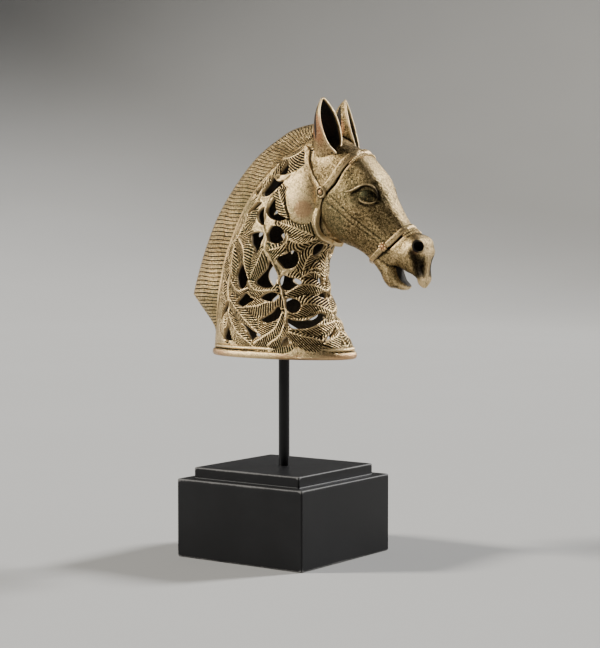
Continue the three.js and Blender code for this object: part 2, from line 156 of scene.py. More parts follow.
# A profile of (across, up) pairs carried along a path: point = path + across * side + up * normal
def carried(path, normals, profile, size=None):
    size = np.ones(len(path)) if size is None else size
    tangent = unit(np.gradient(path, axis=0))
    side = unit(np.cross(tangent, normals))
    up = np.cross(side, tangent)
    profile = np.array(profile, float)
    rings = (path[:, None] + profile[None, :, :1] * side[:, None] * size[:, None, None]
             + profile[None, :, 1:] * up[:, None] * size[:, None, None])
    return lofted(rings)


# across = half * cos(a)^soft, up = rise or sink * sin(a)^soft, with their signs kept
def ovalProfile(half, rise, sink, count=14, soft=0.7):
    a = aroundFull(count)
    s, c = np.sin(a), np.cos(a)
    across = half * np.sign(c) * np.abs(c) ** soft
    return np.stack([across, np.where(s > 0, rise, sink) * np.sign(s) * np.abs(s) ** soft], -1)


# The parts' points and faces put into one mesh
def meshOf(name, parts):
    points, corners, sizes, base = [], [], [], 0
    for part, blocks in parts:
        points.append(part)
        for f in blocks:
            corners.append((f + base).ravel())
            sizes.append(np.full(len(f), f.shape[1]))
        base += len(part)
    points, corners, sizes = np.concatenate(points) * metre, np.concatenate(corners), np.concatenate(sizes)
    mesh = bpy.data.meshes.new(name)
    mesh.vertices.add(len(points))
    mesh.vertices.foreach_set("co", points.ravel().astype(np.float32))
    mesh.loops.add(len(corners))
    mesh.loops.foreach_set("vertex_index", corners.astype(np.int32))
    mesh.polygons.add(len(sizes))
    mesh.polygons.foreach_set("loop_start", (np.cumsum(sizes) - sizes).astype(np.int32))
    mesh.update(calc_edges=True)
    mesh.validate()
    thing = bpy.data.objects.new(name, mesh)
    bpy.context.scene.collection.objects.link(thing)
    return thing


# The same for a piece of the casting, whose heights are counted from the collar's foot: z = height + collarLevel
def castOf(name, parts):
    return meshOf(name, [(points + [0, 0, collarLevel], blocks) for points, blocks in parts])


# The mesh that the modifiers give takes the old one's place
def applyAll(thing):
    graph = bpy.context.evaluated_depsgraph_get()
    made = bpy.data.meshes.new_from_object(thing.evaluated_get(graph))
    thing.modifiers.clear()
    thing.data = made


# The mesh's points in millimetres
def pointsOf(mesh):
    co = np.empty(len(mesh.vertices) * 3, np.float32)
    mesh.vertices.foreach_get("co", co)
    return co.reshape(-1, 3).astype(float) / metre


# The same with heights counted from the collar's foot
def castPoints(thing):
    return pointsOf(thing.data) - [0, 0, collarLevel]


# One float on each point for every name; a name that is there already gets the new values
def setMarks(thing, **marks):
    for name, values in marks.items():
        mark = thing.data.attributes.get(name) or thing.data.attributes.new(name, "FLOAT", "POINT")
        mark.data.foreach_set("value", values.astype(np.float32))


# Wear and painted light = (point - mean of its neighbours, taken spread times) . normal / scale, itself evened out
# twice;
# on the bronze it is high on ridges, shown rubbed bright and highlit, and low in creases, which are painted in shade
def markWearAndPaintedLight(thing, spread, scale):
    mesh = thing.data
    total = len(mesh.vertices)
    edges = np.empty(len(mesh.edges) * 2, np.int32)
    mesh.edges.foreach_get("vertices", edges)
    a, b = edges.reshape(-1, 2).T
    count = np.maximum(np.bincount(a, minlength=total) + np.bincount(b, minlength=total), 1)

    def mean(v):
        sums = [np.bincount(a, v[b, k], total) + np.bincount(b, v[a, k], total) for k in range(v.shape[1])]
        return np.stack(sums, -1) / count[:, None]
    p = pointsOf(mesh)
    normals = np.empty(len(p) * 3, np.float32)
    mesh.vertex_normals.foreach_get("vector", normals)
    q = p
    for _ in range(spread):
        q = mean(q)
    out = np.einsum("ij,ij->i", p - q, normals.reshape(-1, 3))[:, None]
    for _ in range(2):
        out = 0.5 * out + 0.5 * mean(out)
    setMarks(thing, wear=np.clip(out[:, 0] / scale, -1, 1))


# Finish, smooth shading with edges over the angle sharp, and what the frame has to know of a piece
def finished(thing, node, finish, sharp=None):
    thing.data.materials.clear()
    thing.data.materials.append(finish)
    thing.data.polygons.foreach_set("use_smooth", np.ones(len(thing.data.polygons), bool))
    if sharp:
        thing.data.set_sharp_from_angle(angle=np.radians(sharp))
    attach(thing, "root")
    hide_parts(node)
    print(thing.name, len(thing.data.polygons), "faces")


# Shader arithmetic

# A socket that can be added, subtracted and multiplied, each time with its own Math node
class Wire:
    def __init__(self, finish, socket):
        self.finish, self.socket = finish, socket

    def maths(self, operation, a, b=0.0, clamp=False):
        return self.finish.node("ShaderNodeMath", dict(operation=operation, use_clamp=clamp), {0: a, 1: b})

    def __add__(self, other):
        return self.maths("ADD", self, other)

    def __sub__(self, other):
        return self.maths("SUBTRACT", self, other)

    def __rsub__(self, other):
        return self.maths("SUBTRACT", other, self)

    def __mul__(self, other):
        return self.maths("MULTIPLY", self, other)

    __radd__, __rmul__ = __add__, __mul__

    def clamped(self):
        return self.maths("ADD", self, 0.0, True)

    # sin(2 pi value)
    def wave(self):
        return self.maths("SINE", self * (2 * np.pi))


# The nodes of one material, or of the tree that is given
class Finish:
    def __init__(self, name=None, tree=None, place="Object"):
        if name:
            self.material = bpy.data.materials.new(name)
            self.material.use_nodes = True
            tree = self.material.node_tree
        self.tree = tree
        self.tree.nodes.clear()
        self.here = self.node("ShaderNodeTexCoord", out=place)

    # One node: its settings first, then its sockets' values or links
    def node(self, kind, settings=None, inputs=None, out=0):
        made = self.tree.nodes.new(kind)
        for key, value in (settings or {}).items():
            if key == "stops":
                while len(made.color_ramp.elements) < len(value):
                    made.color_ramp.elements.new(0.5)
                for stop, (place, colour) in zip(made.color_ramp.elements, value):
                    stop.position = place
                    stop.color = (*colour, 1)
            else:
                setattr(made, key, value)
        for key, value in (inputs or {}).items():
            socket = made.inputs[key]
            if isinstance(value, Wire):
                self.tree.links.new(value.socket, socket)
            else:
                socket.default_value = (*value, 1) if socket.type == "RGBA" and len(value) == 3 else value
        return Wire(self, made.outputs[out] if len(made.outputs) else None)

    def noise(self, scale, detail, roughness):
        return self.node("ShaderNodeTexNoise", None,
                         {"Vector": self.here, "Scale": scale, "Detail": detail, "Roughness": roughness})

    def attribute(self, name):
        return self.node("ShaderNodeAttribute", dict(attribute_name=name), out="Fac")

    # 0 at low, 1 at high, smooth between
    def between(self, value, low, high):
        return self.node("ShaderNodeMapRange", dict(interpolation_type="SMOOTHSTEP"),
                         {"Value": value, "From Min": low, "From Max": high})

    def mix(self, share, a, b):
        return self.node("ShaderNodeMix", dict(data_type="RGBA"), {0: share, 6: a, 7: b}, out=2)

    def bump(self, height, depth, strength=1.0):
        return self.node("ShaderNodeBump", None, {"Height": height, "Distance": depth * metre, "Strength": strength})

    def done(self, **inputs):
        shader = self.node("ShaderNodeBsdfPrincipled", None, {k.replace("_", " "): v for k, v in inputs.items()})
        self.node("ShaderNodeOutputMaterial", None, {"Surface": shader})
        return self.material


# stops: colour from the depths to the edges; clouds: scale, detail, roughness; shares: what each cause adds
bronze = dict(
    stops=[(0.0, (0.006, 0.004, 0.002)), (0.20, (0.042, 0.028, 0.011)), (0.42, (0.165, 0.115, 0.048)),
           (0.68, (0.41, 0.29, 0.13)), (1.0, (0.82, 0.60, 0.31))],
    clouds=dict(broad=(34, 4, 0.6), fine=(640, 3, 0.65), speckle=(1500, 2, 0.7), red=(19, 2, 0.5),
                green=(23, 3, 0.55)),
    shares=dict(wear=1.1, rub=0.38, broad=0.35, fine=1.55, speckle=1.6), level=0.46,
    leafLevel=0.36, leafGrooveShade=1.15, leafBump=0.5, strandLevel=0.12, strandShading=0.12, strandBump=0.4,
    red=(0.46, 0.19, 0.085), redFrom=(0.62, 0.84), redTint=0.55, ruddy=0.34,
    # the crease, hollow and shadow-line darkening set in these lines is painted shade
    green=(0.15, 0.165, 0.075), greenFrom=(0.5, 0.68), greenTint=0.22, creaseShadeFrom=(0.08, 0.65), creaseShadeTint=0.9,
    hollowShadeDark=0.95, paintedShadowDark=0.97, grain=0.42, grainHeight=0.8, metal=0.94, hollowMetal=0.7,
    rough=0.25, speckleRough=0.14, dullRough=0.2, paintedShadeRough=0.4,
)


# the tone = level + lift + the sum of share * cause, where the wear mark brightens ridges as wear and painted
# highlight and darkens creases as painted shade and the rub mark adds painted highlights, less in the grooves as
# painted shade; the stops colour it, then red and green tint it, creases take more painted shade, and hollows and
# shadow lines are shut dark as painted shade; height = grain, with the veins or the strands on it
def bronzeFinish(name, leaves=False, strands=False, toneLift=0.0):
    f, b, share = Finish(name), bronze, bronze["shares"]
    deep = b["stops"][0][1]
    wear, hollow, seam, ruddy, rub = (f.attribute(key) for key in ("wear", "hollow", "seam", "ruddy", "rub"))
    broad, fine, speckle, red, green = (f.noise(*cloud) for cloud in b["clouds"].values())
    # the rub mark lifts rubbed bright places and painted highlights
    wornAndPaintedLight = wear * share["wear"] + rub * share["rub"] + (b["level"] + toneLift)
    for cloud, key in ((broad, "broad"), (fine, "fine"), (speckle, "speckle")):
        wornAndPaintedLight = wornAndPaintedLight + (cloud - 0.5) * share[key]
    height = (fine + speckle) * b["grainHeight"]
    if leaves:
        vein, cover = f.attribute("vein").wave(), f.attribute("cover")
        # the grooves between the veins are painted darker: painted shade
        wornAndPaintedLight = wornAndPaintedLight + b["leafLevel"] - cover * (0.5 - 0.5 * vein) * b["leafGrooveShade"]
        height = height + vein * cover * b["leafBump"]
    if strands:
        strand = f.attribute("strand").wave()
        # the strands' grooves are painted darker and their ridges lighter: painted shade and highlight
        wornAndPaintedLight = wornAndPaintedLight + strand * b["strandShading"] + b["strandLevel"]
        height = height + strand * b["strandBump"]
    wornAndPaintedLight = wornAndPaintedLight.clamped()
    # hollows and shadow lines are shut dark, rougher, and hollows less metallic: painted shade
    paintedShade = (hollow * b["hollowShadeDark"] + seam * b["paintedShadowDark"]).clamped()
    colour = f.node("ShaderNodeValToRGB", dict(stops=b["stops"]), {"Fac": wornAndPaintedLight})
    colour = f.mix(f.between(red + ruddy * b["ruddy"], *b["redFrom"]) * b["redTint"], colour, b["red"])
    colour = f.mix(f.between(green, *b["greenFrom"]) * b["greenTint"], colour, b["green"])
    # creases are darkened toward the deepest colour: painted shade
    colour = f.mix(f.between(0 - wear, *b["creaseShadeFrom"]) * b["creaseShadeTint"], colour, deep)
    colour = f.mix(paintedShade, colour, deep)
    rough = b["rough"] + speckle * b["speckleRough"] + (1 - wornAndPaintedLight) * b["dullRough"] + paintedShade * b["paintedShadeRough"]
    return f.done(Base_Color=colour, Metallic=b["metal"] - hollow * b["hollowMetal"], Roughness=rough,
                  Normal=f.bump(height, b["grain"]))


black = dict(
    wood=dict(tone=(0.0050, 0.0050, 0.0056), roughness=0.44, edge=(0.20, 0.195, 0.19)),
    paint=dict(tone=(0.0030, 0.0030, 0.0034), roughness=0.30, edge=(0.06, 0.055, 0.05)),
    broad=(26, 4, 0.6), fine=(650, 3, 0.65), wearShare=0.75, broadShare=0.6, fineShare=0.5,
    scuffFrom=(0.42, 0.8), scuffTint=0.85, scuffRough=0.15, paler=1.8, palerFrom=(0.4, 0.75), palerTint=0.5,
    broadRough=0.12, grain=0.10, grainStrength=0.4, specular=0.28,
)


# Black, clouded paler; scuff = wear + clouds shows the edge colour; the bump is a fine grain
def blackFinish(name, look):
    f, b = Finish(name), black
    broad, fine, tone = f.noise(*b["broad"]), f.noise(*b["fine"]), look["tone"]
    scuff = (f.attribute("wear") * b["wearShare"] + (broad - 0.5) * b["broadShare"] + (fine - 0.5) * b["fineShare"])
    scuff = f.between(scuff, *b["scuffFrom"])
    colour = f.mix(f.between(broad, *b["palerFrom"]) * b["palerTint"], tone, tuple(b["paler"] * c for c in tone))
    colour = f.mix(scuff * b["scuffTint"], colour, look["edge"])
    rough = look["roughness"] + (broad - 0.5) * b["broadRough"] + scuff * b["scuffRough"]
    return f.done(Base_Color=colour, Roughness=rough, Normal=f.bump(fine, b["grain"], b["grainStrength"]),
                  Specular_IOR_Level=b["specular"])


# The neck's form

neck = dict(
    back=[[0, -61], [11, -60.5], [23, -59.5], [37, -58], [54, -55], [73, -50], [93, -42], [112, -31], [130, -15],
          [144, 3], [155, 24]],
    front=[[0, 59.5], [7, 56.5], [13, 52], [21, 47.5], [31, 43], [41, 39.3], [51, 36], [61, 34.5], [69, 35.2],
           [75, 37.5], [81, 42], [87, 48], [155, 50]],
    halfWidth=[[0, 31], [11, 29.5], [23, 27], [39, 25], [55, 24], [75, 23.5], [95, 22], [115, 20], [135, 16],
               [155, 10]],
    strapLine=[[88, 46], [96, 44], [108, 45], [118, 50], [130, 46], [138, 41], [150, 37], [156, 35]],
    lean=0.14, wall=2.4, cell=0.6, foot=1.5, top=150.0, shares=200, snap=0.32,
    buriedAbove=90, rootAbove=24, rootBehind=4,
)
neckBack, neckFront, neckHalf = through(neck["back"]), through(neck["front"]), through(neck["halfWidth"])


# x = middle + half length * cos a,  y = -half width * sin a * (1 + lean * cos a)
def neckAt(angle, height):
    front, back = neckFront(height), neckBack(height)
    x = (front + back) / 2 + (front - back) / 2 * np.cos(angle)
    y = -neckHalf(height) * np.sin(angle) * (1 + neck["lean"] * np.cos(angle))
    return np.stack(np.broadcast_arrays(x, y, height), -1)


# A table that turns a share of the half girth into an angle, one row for each millimetre of height
tableLevels = np.arange(0, 157.0)
sweepAngles = np.linspace(0, np.pi, 361)
sections = neckAt(sweepAngles[None], tableLevels[:, None])
steps = np.linalg.norm(np.diff(sections, axis=1), axis=2)
runs = np.concatenate([np.zeros((len(sections), 1)), np.cumsum(steps, 1)], 1)
evenShares = np.linspace(0, 1, neck["shares"] + 1)
angleTable = np.array([np.interp(evenShares, run / run[-1], sweepAngles) for run in runs])
halfGirth = through(np.stack([tableLevels, runs[:, -1]], -1))


# The angle that lies so far round at a height, weighed from the four nearest entries of the table
def angleAfter(around, height):
    c = np.clip(around / halfGirth(height), 0, 1) * neck["shares"]
    r = np.clip(height, 0, tableLevels[-1] - 1e-6)
    i, j = r.astype(int), np.minimum(c.astype(int), neck["shares"] - 1)
    f, g = r - i, c - j
    t = angleTable
    return ((1 - f) * ((1 - g) * t[i, j] + g * t[i, j + 1]) + f * ((1 - g) * t[i + 1, j] + g * t[i + 1, j + 1]))


# angle = acos((x - middle) / half length)
def angleAt(x, height):
    front, back = neckFront(height), neckBack(height)
    return np.arccos(np.clip((x - (front + back) / 2) / ((front - back) / 2), -1, 1))


# How far round from the chest line each x lies at its height
def aroundAt(x, height):
    row = np.clip(np.round(height).astype(int), 0, len(runs) - 1)
    return np.array([np.interp(a, sweepAngles, runs[r]) for a, r in zip(angleAt(x, height), row)])


# Steps along both ways of the neck's surface, round it and up it
def neckSteps(angle, height):
    return (neckAt(angle + 0.004, height) - neckAt(angle - 0.004, height),
            neckAt(angle, height + 0.4) - neckAt(angle, height - 0.4))


# point = neckAt(angle, height) + lift * normal, with normal = step up x step round
def onNeck(around, height, lift=0.0):
    angle = angleAfter(around, height)
    da, dh = neckSteps(angle, height)
    normal = unit(np.cross(dh, da))
    return neckAt(angle, height) + normal * np.asarray(lift)[..., None], normal


# The leafwork: openings, leaves and stems by (round from the chest line, height)

openings = [
    [[42.5, 141], [47.5, 138], [51.5, 132.5], [46.5, 131.5], [43, 132.5]],
    [[58.5, 130.5], [61.5, 125.5], [67, 119.5], [64.5, 116], [57, 117], [50.5, 122], [45, 127], [52.5, 127]],
    [[67.5, 125.5], [68.5, 121.5], [76.5, 116.5], [74.5, 121.5]],
    [[66, 111.5], [70.5, 108], [79.5, 103.5], [76, 108], [70.5, 111.5]],
    [[62.5, 108], [61.5, 102.5], [61, 95.5], [63.5, 95.5], [68, 99], [69.5, 103.5], [67, 106.5]],
    [[52.5, 115], [51, 108], [47, 102.5], [41, 100.5], [45.5, 98.5], [51, 99], [57, 101.5], [59.5, 106],
     [57.5, 110.5]],
    [[54, 94.5], [47.5, 94.5], [43, 91.5], [42, 87], [42, 83], [47, 82.5], [54.5, 85], [57, 89.5]],
    [[74.5, 89], [62, 90], [60, 84.5], [56.5, 79.5], [57, 74], [61, 78.5], [71.5, 84.5]],
    [[88.5, 91.5], [90, 88.5], [92.5, 87], [92, 90]],
    [[83, 75.5], [80.5, 70], [83, 60.5], [84.5, 65.5], [84, 72]],
    [[68, 68], [63, 62], [62, 57.5], [65, 51.5], [69, 49], [73.5, 51], [75, 57.5], [73, 63]],
    [[42.5, 70], [37.5, 64], [35.5, 59], [39, 52.5], [45, 50.5], [51.5, 51.5], [55, 54.5], [50, 59], [44.5, 64]],
    [[28.5, 77], [24, 76], [21, 71.5], [21.5, 67], [25.5, 64.5], [30, 64.5], [34, 68], [37.5, 72], [32, 74.5]],
    [[31, 59.5], [26, 58], [20.5, 57], [18, 54.5], [22.5, 52], [27.5, 49], [33, 50], [34.5, 53.5], [34, 57]],
    [[66, 46.5], [61.5, 43], [58.5, 42], [64.5, 39.5], [73, 36.5], [78.5, 39], [73, 43]],
    [[53.5, 43], [47, 46.5], [41, 47.5], [37.5, 46], [37.5, 44], [42.5, 41], [47.5, 41]],
    [[87.5, 40], [90, 34.5], [96.5, 29.5], [103, 26.5], [99.5, 31.5], [94, 37]],
    [[40.5, 37.5], [38.5, 34], [41.5, 29.5], [46.5, 27], [53, 25.5], [59, 27.5], [53.5, 30], [47, 33]],
    [[32, 43], [26, 43], [23, 40.5], [23.5, 36.5], [27, 33.5], [31.5, 33], [34.5, 36], [33.5, 40.5]],
    [[36, 29.5], [32.5, 28], [23.5, 28], [16, 30.5], [10, 33], [6, 31.5], [10.5, 28], [16.5, 24.5], [23, 22],
     [29.5, 21.5], [35.5, 22.5], [37, 25.5]],
    [[1, 47.5], [1.2, 43.5], [5, 43.5], [8, 45]],
    [[3, 59], [1.5, 56], [2, 52], [4.5, 54], [5.5, 57]],
    [[80, 25.5], [74, 23.5], [68.5, 19.5], [62.5, 16.5], [68.5, 15], [74, 12.5], [75, 17], [77, 22.5]],
    [[94, 24], [95, 17.5], [96, 12], [107, 12.5], [101.5, 18]],
    [[42, 16.5], [41.5, 11], [49.5, 10.5]],
    [[1.5, 22.5], [4, 20], [10.5, 15.5], [18, 11.5], [15, 14.5], [8, 18.5], [3, 22]],
    [[13, 76], [14, 81], [9.5, 82], [5.5, 79.5], [5.5, 75.5], [9.5, 73]],
    [[1.2, 13.5], [1.5, 10.5], [4.5, 10.5]],
]
# each leaf: stalk, middle, tip, full width
leaves = [
    [[37, 100], [44, 110], [49, 121], 9], [[20, 88], [32, 93], [46, 97], 9], [[40, 90], [37, 81], [47, 77], 7],
    [[51, 79], [52, 69], [59, 57], 10], [[89, 87], [70, 77], [60, 56], 10], [[84, 80], [80, 69], [78, 56], 7],
    [[81, 56], [73, 48], [62, 50], 6], [[61, 56], [55, 49], [37, 49], 9], [[36, 45], [55, 38], [73, 36], 11],
    [[86, 43], [74, 29], [63, 17], 13], [[90, 34], [86, 20], [76, 10], 13], [[37, 34], [49, 21], [74, 10], 12],
    [[38, 27], [46, 17], [62, 9], 8], [[32, 46], [16, 53], [0, 48], 10], [[34, 33], [17, 39], [0, 33], 11],
    [[39, 21], [18, 23], [0, 27], 10], [[40, 20], [29, 16], [17, 13], 8], [[18, 11], [5, 16], [0, 20], 9],
    [[14, 63], [7, 65], [0, 61], 8], [[0, 55], [0, 66], [0, 76], 10], [[17, 63], [13, 77], [7, 79], 9],
    [[39, 86], [26, 83], [18, 86], 9], [[104, 13], [98, 26], [91, 36], 7], [[88, 36], [92, 45], [90, 58], 8],
    [[86, 52], [91, 64], [90, 76], 8], [[85, 68], [90, 80], [85, 93], 8], [[81, 92], [80, 101], [73, 111], 8],
    [[62, 131], [68, 124], [74, 122], 6], [[52, 140], [57, 134], [60, 129], 6], [[59, 141], [37, 144], [24, 152], 9],
    [[18, 58], [10, 62], [1, 56], 7],
]
# paths of the stems
stems = [
    [[45, 13], [35, 33], [34, 47], [34, 58], [42, 71], [51, 79], [61, 93], [61, 104], [58, 114],
     [49, 125], [41, 131]],
    [[108, 11], [90, 34], [86, 51], [81, 64], [85, 77], [88, 90], [77, 104],
     [71, 115], [63, 129], [59, 141], [45, 149]],
    [[65, 115], [56, 119], [45, 129]],
]
carving = dict(
    leafRise=1.5, leafEdge=0.75, ground=0.25, rib=0.35, ribHalf=0.5, veinPitch=2.25, veinSlant=0.9, veinRise=0.17,
    stemHalf=1.15, stemRise=1.0, stemClear=0.25, rimRound=0.6, rimRise=0.05, rimFrom=0.6, rimHalf=0.5, spread=1.25,
    taper=(0.8, 0.75), edgeFrom=(-0.1, 0.35), bodyFrom=(0, 0.9), ribFrom=(0, 0.1),
    seamDepth=0.25, seamFrom=(0.0, 0.8), veinFrom=(0.25, 0.7), veinClear=(0.1, 0.7),
    bulge=[[29, 115], [15, 21], 1.9], bulgeFrom=1.1, bulgeEase=0.9, bulgeOwn=0.93,
)
rootPoints = [[21, -55], [33, -53], [46, -50.5], [63, -46], [78.4, -41], [98.5, -32], [118.4, -19.5], [135, -2],
              [150, 19], [153, 26], [155, 33]]   # (height, x) of the line where the mane grows out of the neck
rootLine = through(rootPoints)


# Distance from each point to a closed outline, below zero inside it, and the nearest point on it
def fromOutline(p, outline):
    a, b = outline, np.roll(outline, -1, 0)
    ab = b - a
    ap = p[:, None] - a[None]
    t = np.clip((ap * ab).sum(-1) / (ab * ab).sum(-1), 0, 1)
    near = a + ab * t[..., None]
    d = np.linalg.norm(p[:, None] - near, axis=-1)
    k = d.argmin(1)
    crosses = (a[:, 1] > p[:, None, 1]) != (b[:, 1] > p[:, None, 1])
    at = a[:, 0] + (p[:, None, 1] - a[:, 1]) * ab[:, 0] / np.where(ab[:, 1] == 0, 1e-9, ab[:, 1])
    inside = ((crosses & (at > p[:, None, 0])).sum(1) % 2).astype(bool)
    rows = np.arange(len(p))
    return np.where(inside, -1, 1) * d[rows, k], near[rows, k]


outlines = [smoothPath(corners, 56, closed=True) for corners in openings]


# The same for the nearest of all openings, no further than reach
def fromOpenings(p, reach=4.0):
    distance = np.full(len(p), reach)
    nearest = p.copy()
    for outline in outlines:
        close = np.flatnonzero(((p > outline.min(0) - reach) & (p < outline.max(0) + reach)).all(1))
        d, near = fromOutline(p[close], outline)
        better = d < distance[close]
        distance[close[better]] = d[better]
        nearest[close[better]] = near[better]
    return distance, nearest


# How far along a path each point lies and how far to its side, left positive
def alongPath(p, path):
    ab = np.diff(path, axis=0)
    ap = p[:, None] - path[None, :-1]
    t = np.clip((ap * ab).sum(-1) / (ab * ab).sum(-1), 0, 1)
    off = p[:, None] - (path[:-1] + ab * t[..., None])
    d = np.linalg.norm(off, axis=-1)
    k = d.argmin(1)
    rows = np.arange(len(p))
    length = np.linalg.norm(ab, axis=1)
    start = np.cumsum(length) - length
    turn = ab[k, 0] * off[rows, k, 1] - ab[k, 1] * off[rows, k, 0]
    return start[k] + t[rows, k] * length[k], d[rows, k] * np.sign(turn), length.sum()


# Height of the carving over the neck's form, with each leaf's vein phase and cover. A point belongs to the leaf whose
# edge it is furthest inside, and to the nearest one's veins where it is in none:
# body = ground + (edge - ground) * ease(inside) + (rise - edge) * ease(inside share) + rib; stems and bulge rise
# over it, and its edge at an opening is rounded: lift - r + sqrt(r^2 - (r - gap)^2)
def neckRelief(p, gap):
    c = carving
    best, second = np.full(len(p), -9.0), np.full(len(p), -9.0)
    lift, vein, side = np.full(len(p), c["ground"]), np.zeros(len(p)), np.full(len(p), 9.0)
    for stalk, middle, tip, width in leaves:
        path = smoothPath([stalk, middle, tip], 24)
        reach = width / 2 * c["spread"] + 5
        close = np.flatnonzero(((p > path.min(0) - reach) & (p < path.max(0) + reach)).all(1))
        s, d, total = alongPath(p[close], path)
        share = s / total
        narrow, blunt = c["taper"]
        half = width / 2 * c["spread"] * np.sin(np.pi * np.clip(share, 0.001, 0.999) ** narrow) ** blunt
        inside = half - np.abs(d)
        body = (c["ground"] + (c["leafEdge"] - c["ground"]) * ease(inside, *c["edgeFrom"])
                + (c["leafRise"] - c["leafEdge"]) * ease(inside / (width / 2), *c["bodyFrom"])
                + c["rib"] * np.exp(-(d / c["ribHalf"]) ** 2) * ease(share, *c["ribFrom"]) * (inside > 0))
        over = inside > best[close]
        second[close] = np.where(over, best[close], np.maximum(second[close], inside))
        at = close[over]
        best[at], lift[at], side[at] = inside[over], body[over], np.abs(d[over])
        vein[at] = ((s - np.abs(d) * c["veinSlant"]) / c["veinPitch"])[over]
    cover = ease(side, *c["veinFrom"]) * ease(best - second, *c["veinClear"]) * (best > -5)
    lift = (lift - c["seamDepth"] * (1 - ease(best - second, *c["seamFrom"]))
            + c["veinRise"] * np.sin(2 * np.pi * vein) * cover)
    for points in stems:
        _, d, _ = alongPath(p, smoothPath(points, 60))
        stem = c["stemRise"] * np.sqrt(np.clip(1 - (d / c["stemHalf"]) ** 2, 0, 1))
        cover = cover * (stem <= lift) * (np.abs(np.abs(d) - c["stemHalf"]) > c["stemClear"])
        lift = np.maximum(lift, stem)
    middle, radii, rise = c["bulge"]
    r = np.hypot(*((p - middle) / radii).T)
    swell = rise * ease(c["bulgeFrom"] - r, 0, c["bulgeEase"])
    lift = np.where(r < c["bulgeOwn"], swell, np.maximum(lift, swell))
    cover = cover * (r >= c["bulgeOwn"])
    lift = lift + c["rimRise"] * np.exp(-((gap - c["rimFrom"]) / c["rimHalf"]) ** 2)
    g = np.clip(gap, 0, c["rimRound"])
    lift = lift - c["rimRound"] + np.sqrt(c["rimRound"] ** 2 - (c["rimRound"] - g) ** 2)
    return lift, vein, cover


# the metal's outline in a cell, by which of its corners 0 to 3 are metal; 4 to 7 are the cuts on its four sides
cellCases = {
    1: [0, 4, 7], 2: [1, 5, 4], 4: [2, 6, 5], 8: [3, 7, 6], 3: [0, 1, 5, 7], 6: [1, 2, 6, 4], 12: [2, 3, 7, 5],
    9: [3, 0, 4, 6], 7: [0, 1, 2, 6, 7], 14: [1, 2, 3, 7, 4], 13: [2, 3, 0, 4, 5], 11: [3, 0, 1, 5, 6],
}


# The pierced wall of one side: a grid over (round, height) whose cells are cut along the outlines where the gap is 0,
# an outer face = form + carving, an inner face = form - wall, and a strip between them along every free edge
def neckSide():
    n = neck
    rows = int((n["top"] - n["foot"]) / n["cell"]) + 1
    cols = int(halfGirth(0.0) / n["cell"]) + 1
    height = np.broadcast_to(np.linspace(n["foot"], n["top"], rows)[:, None], (rows, cols))
    around = np.linspace(0, 1, cols)[None] * halfGirth(height)
    p = np.stack([around, height], -1).reshape(-1, 2)
    gap, nearest = fromOpenings(p)
    snapped = np.abs(gap) < n["snap"] * n["cell"] * np.clip(halfGirth(p[:, 1]) / halfGirth(0.0), 0.5, 1)
    snapped &= p[:, 0] > 0
    p[snapped] = nearest[snapped]
    gap[snapped] = 0
    x = neckAt(angleAfter(p[:, 0], p[:, 1]), p[:, 1])[:, 0]
    buried = (p[:, 1] > n["buriedAbove"]) & (x > through(n["strapLine"])(p[:, 1]))
    buried |= (p[:, 1] > n["rootAbove"]) & (x < rootLine(p[:, 1]) - n["rootBehind"])
    solid = gap >= 0
    grid = np.arange(rows * cols).reshape(rows, cols)

    def crossing(a, b):
        made = np.full(a.shape, -1)
        cut = solid[a] != solid[b]
        metal = np.where(solid[a], a, b)
        made[cut & snapped[metal]] = metal[cut & snapped[metal]]
        fresh = cut & ~snapped[metal]
        ga, gb = gap[a[fresh]], gap[b[fresh]]
        t = (ga / (ga - gb))[:, None]
        return made, fresh, p[a[fresh]] * (1 - t) + p[b[fresh]] * t

    flat, flatFresh, flatPoints = crossing(grid[:, :-1], grid[:, 1:])
    tall, tallFresh, tallPoints = crossing(grid[:-1], grid[1:])
    first = len(p)
    flat[flatFresh] = first + np.arange(flatFresh.sum())
    tall[tallFresh] = first + flatFresh.sum() + np.arange(tallFresh.sum())
    p = np.concatenate([p, flatPoints, tallPoints])
    gap = np.concatenate([gap, np.zeros(len(p) - first)])
    corner = np.stack([grid[:-1, :-1], grid[:-1, 1:], grid[1:, 1:], grid[1:, :-1],
                       flat[:-1], tall[:, 1:], flat[1:], tall[:, :-1]], -1).reshape(-1, 8)
    state = (solid[corner[:, :4]] * [1, 2, 4, 8]).sum(1)
    state[buried[corner[:, :4]].all(1)] = 0
    quads = corner[state == 15][:, :4]
    fans = []
    for case, ring in cellCases.items():
        ring = corner[state == case][:, ring]
        fans += [ring[:, [0, k - 1, k]] for k in range(2, ring.shape[1])]
    triangles = np.concatenate(fans)
    a, b, c = triangles.T
    triangles = triangles[(a != b) & (b != c) & (a != c)]
    used = np.unique(np.concatenate([quads.ravel(), triangles.ravel()]))
    renumber = np.full(len(p), -1)
    renumber[used] = np.arange(len(used))
    quads, triangles = renumber[quads], renumber[triangles]
    p, gap = p[used], gap[used]
    lift, vein, cover = neckRelief(p, gap)
    outer = onNeck(p[:, 0], p[:, 1], lift)[0]
    inner = onNeck(p[:, 0], p[:, 1], np.full(len(p), -n["wall"]))[0]
    sides = np.concatenate([f[:, [k, (k + 1) % f.shape[1]]] for f in (quads, triangles) for k in range(f.shape[1])])
    low, high = np.sort(sides, 1).T
    total = len(p)
    _, where, count = np.unique(low * total + high, return_index=True, return_counts=True)
    rim = sides[where[count == 1]]
    walls = np.stack([rim[:, 1], rim[:, 0], rim[:, 0] + total, rim[:, 1] + total], -1)
    part = outward(np.concatenate([outer, inner]),
                   [quads, triangles, quads[:, ::-1] + total, triangles[:, ::-1] + total, walls])
    return part, np.concatenate([vein, vein * 0]), np.concatenate([cover, cover * 0]), np.repeat([0.0, 1.0], total)


# The head: a loft whose sections are given by length l along it and height h across it, from tables of (l, value)

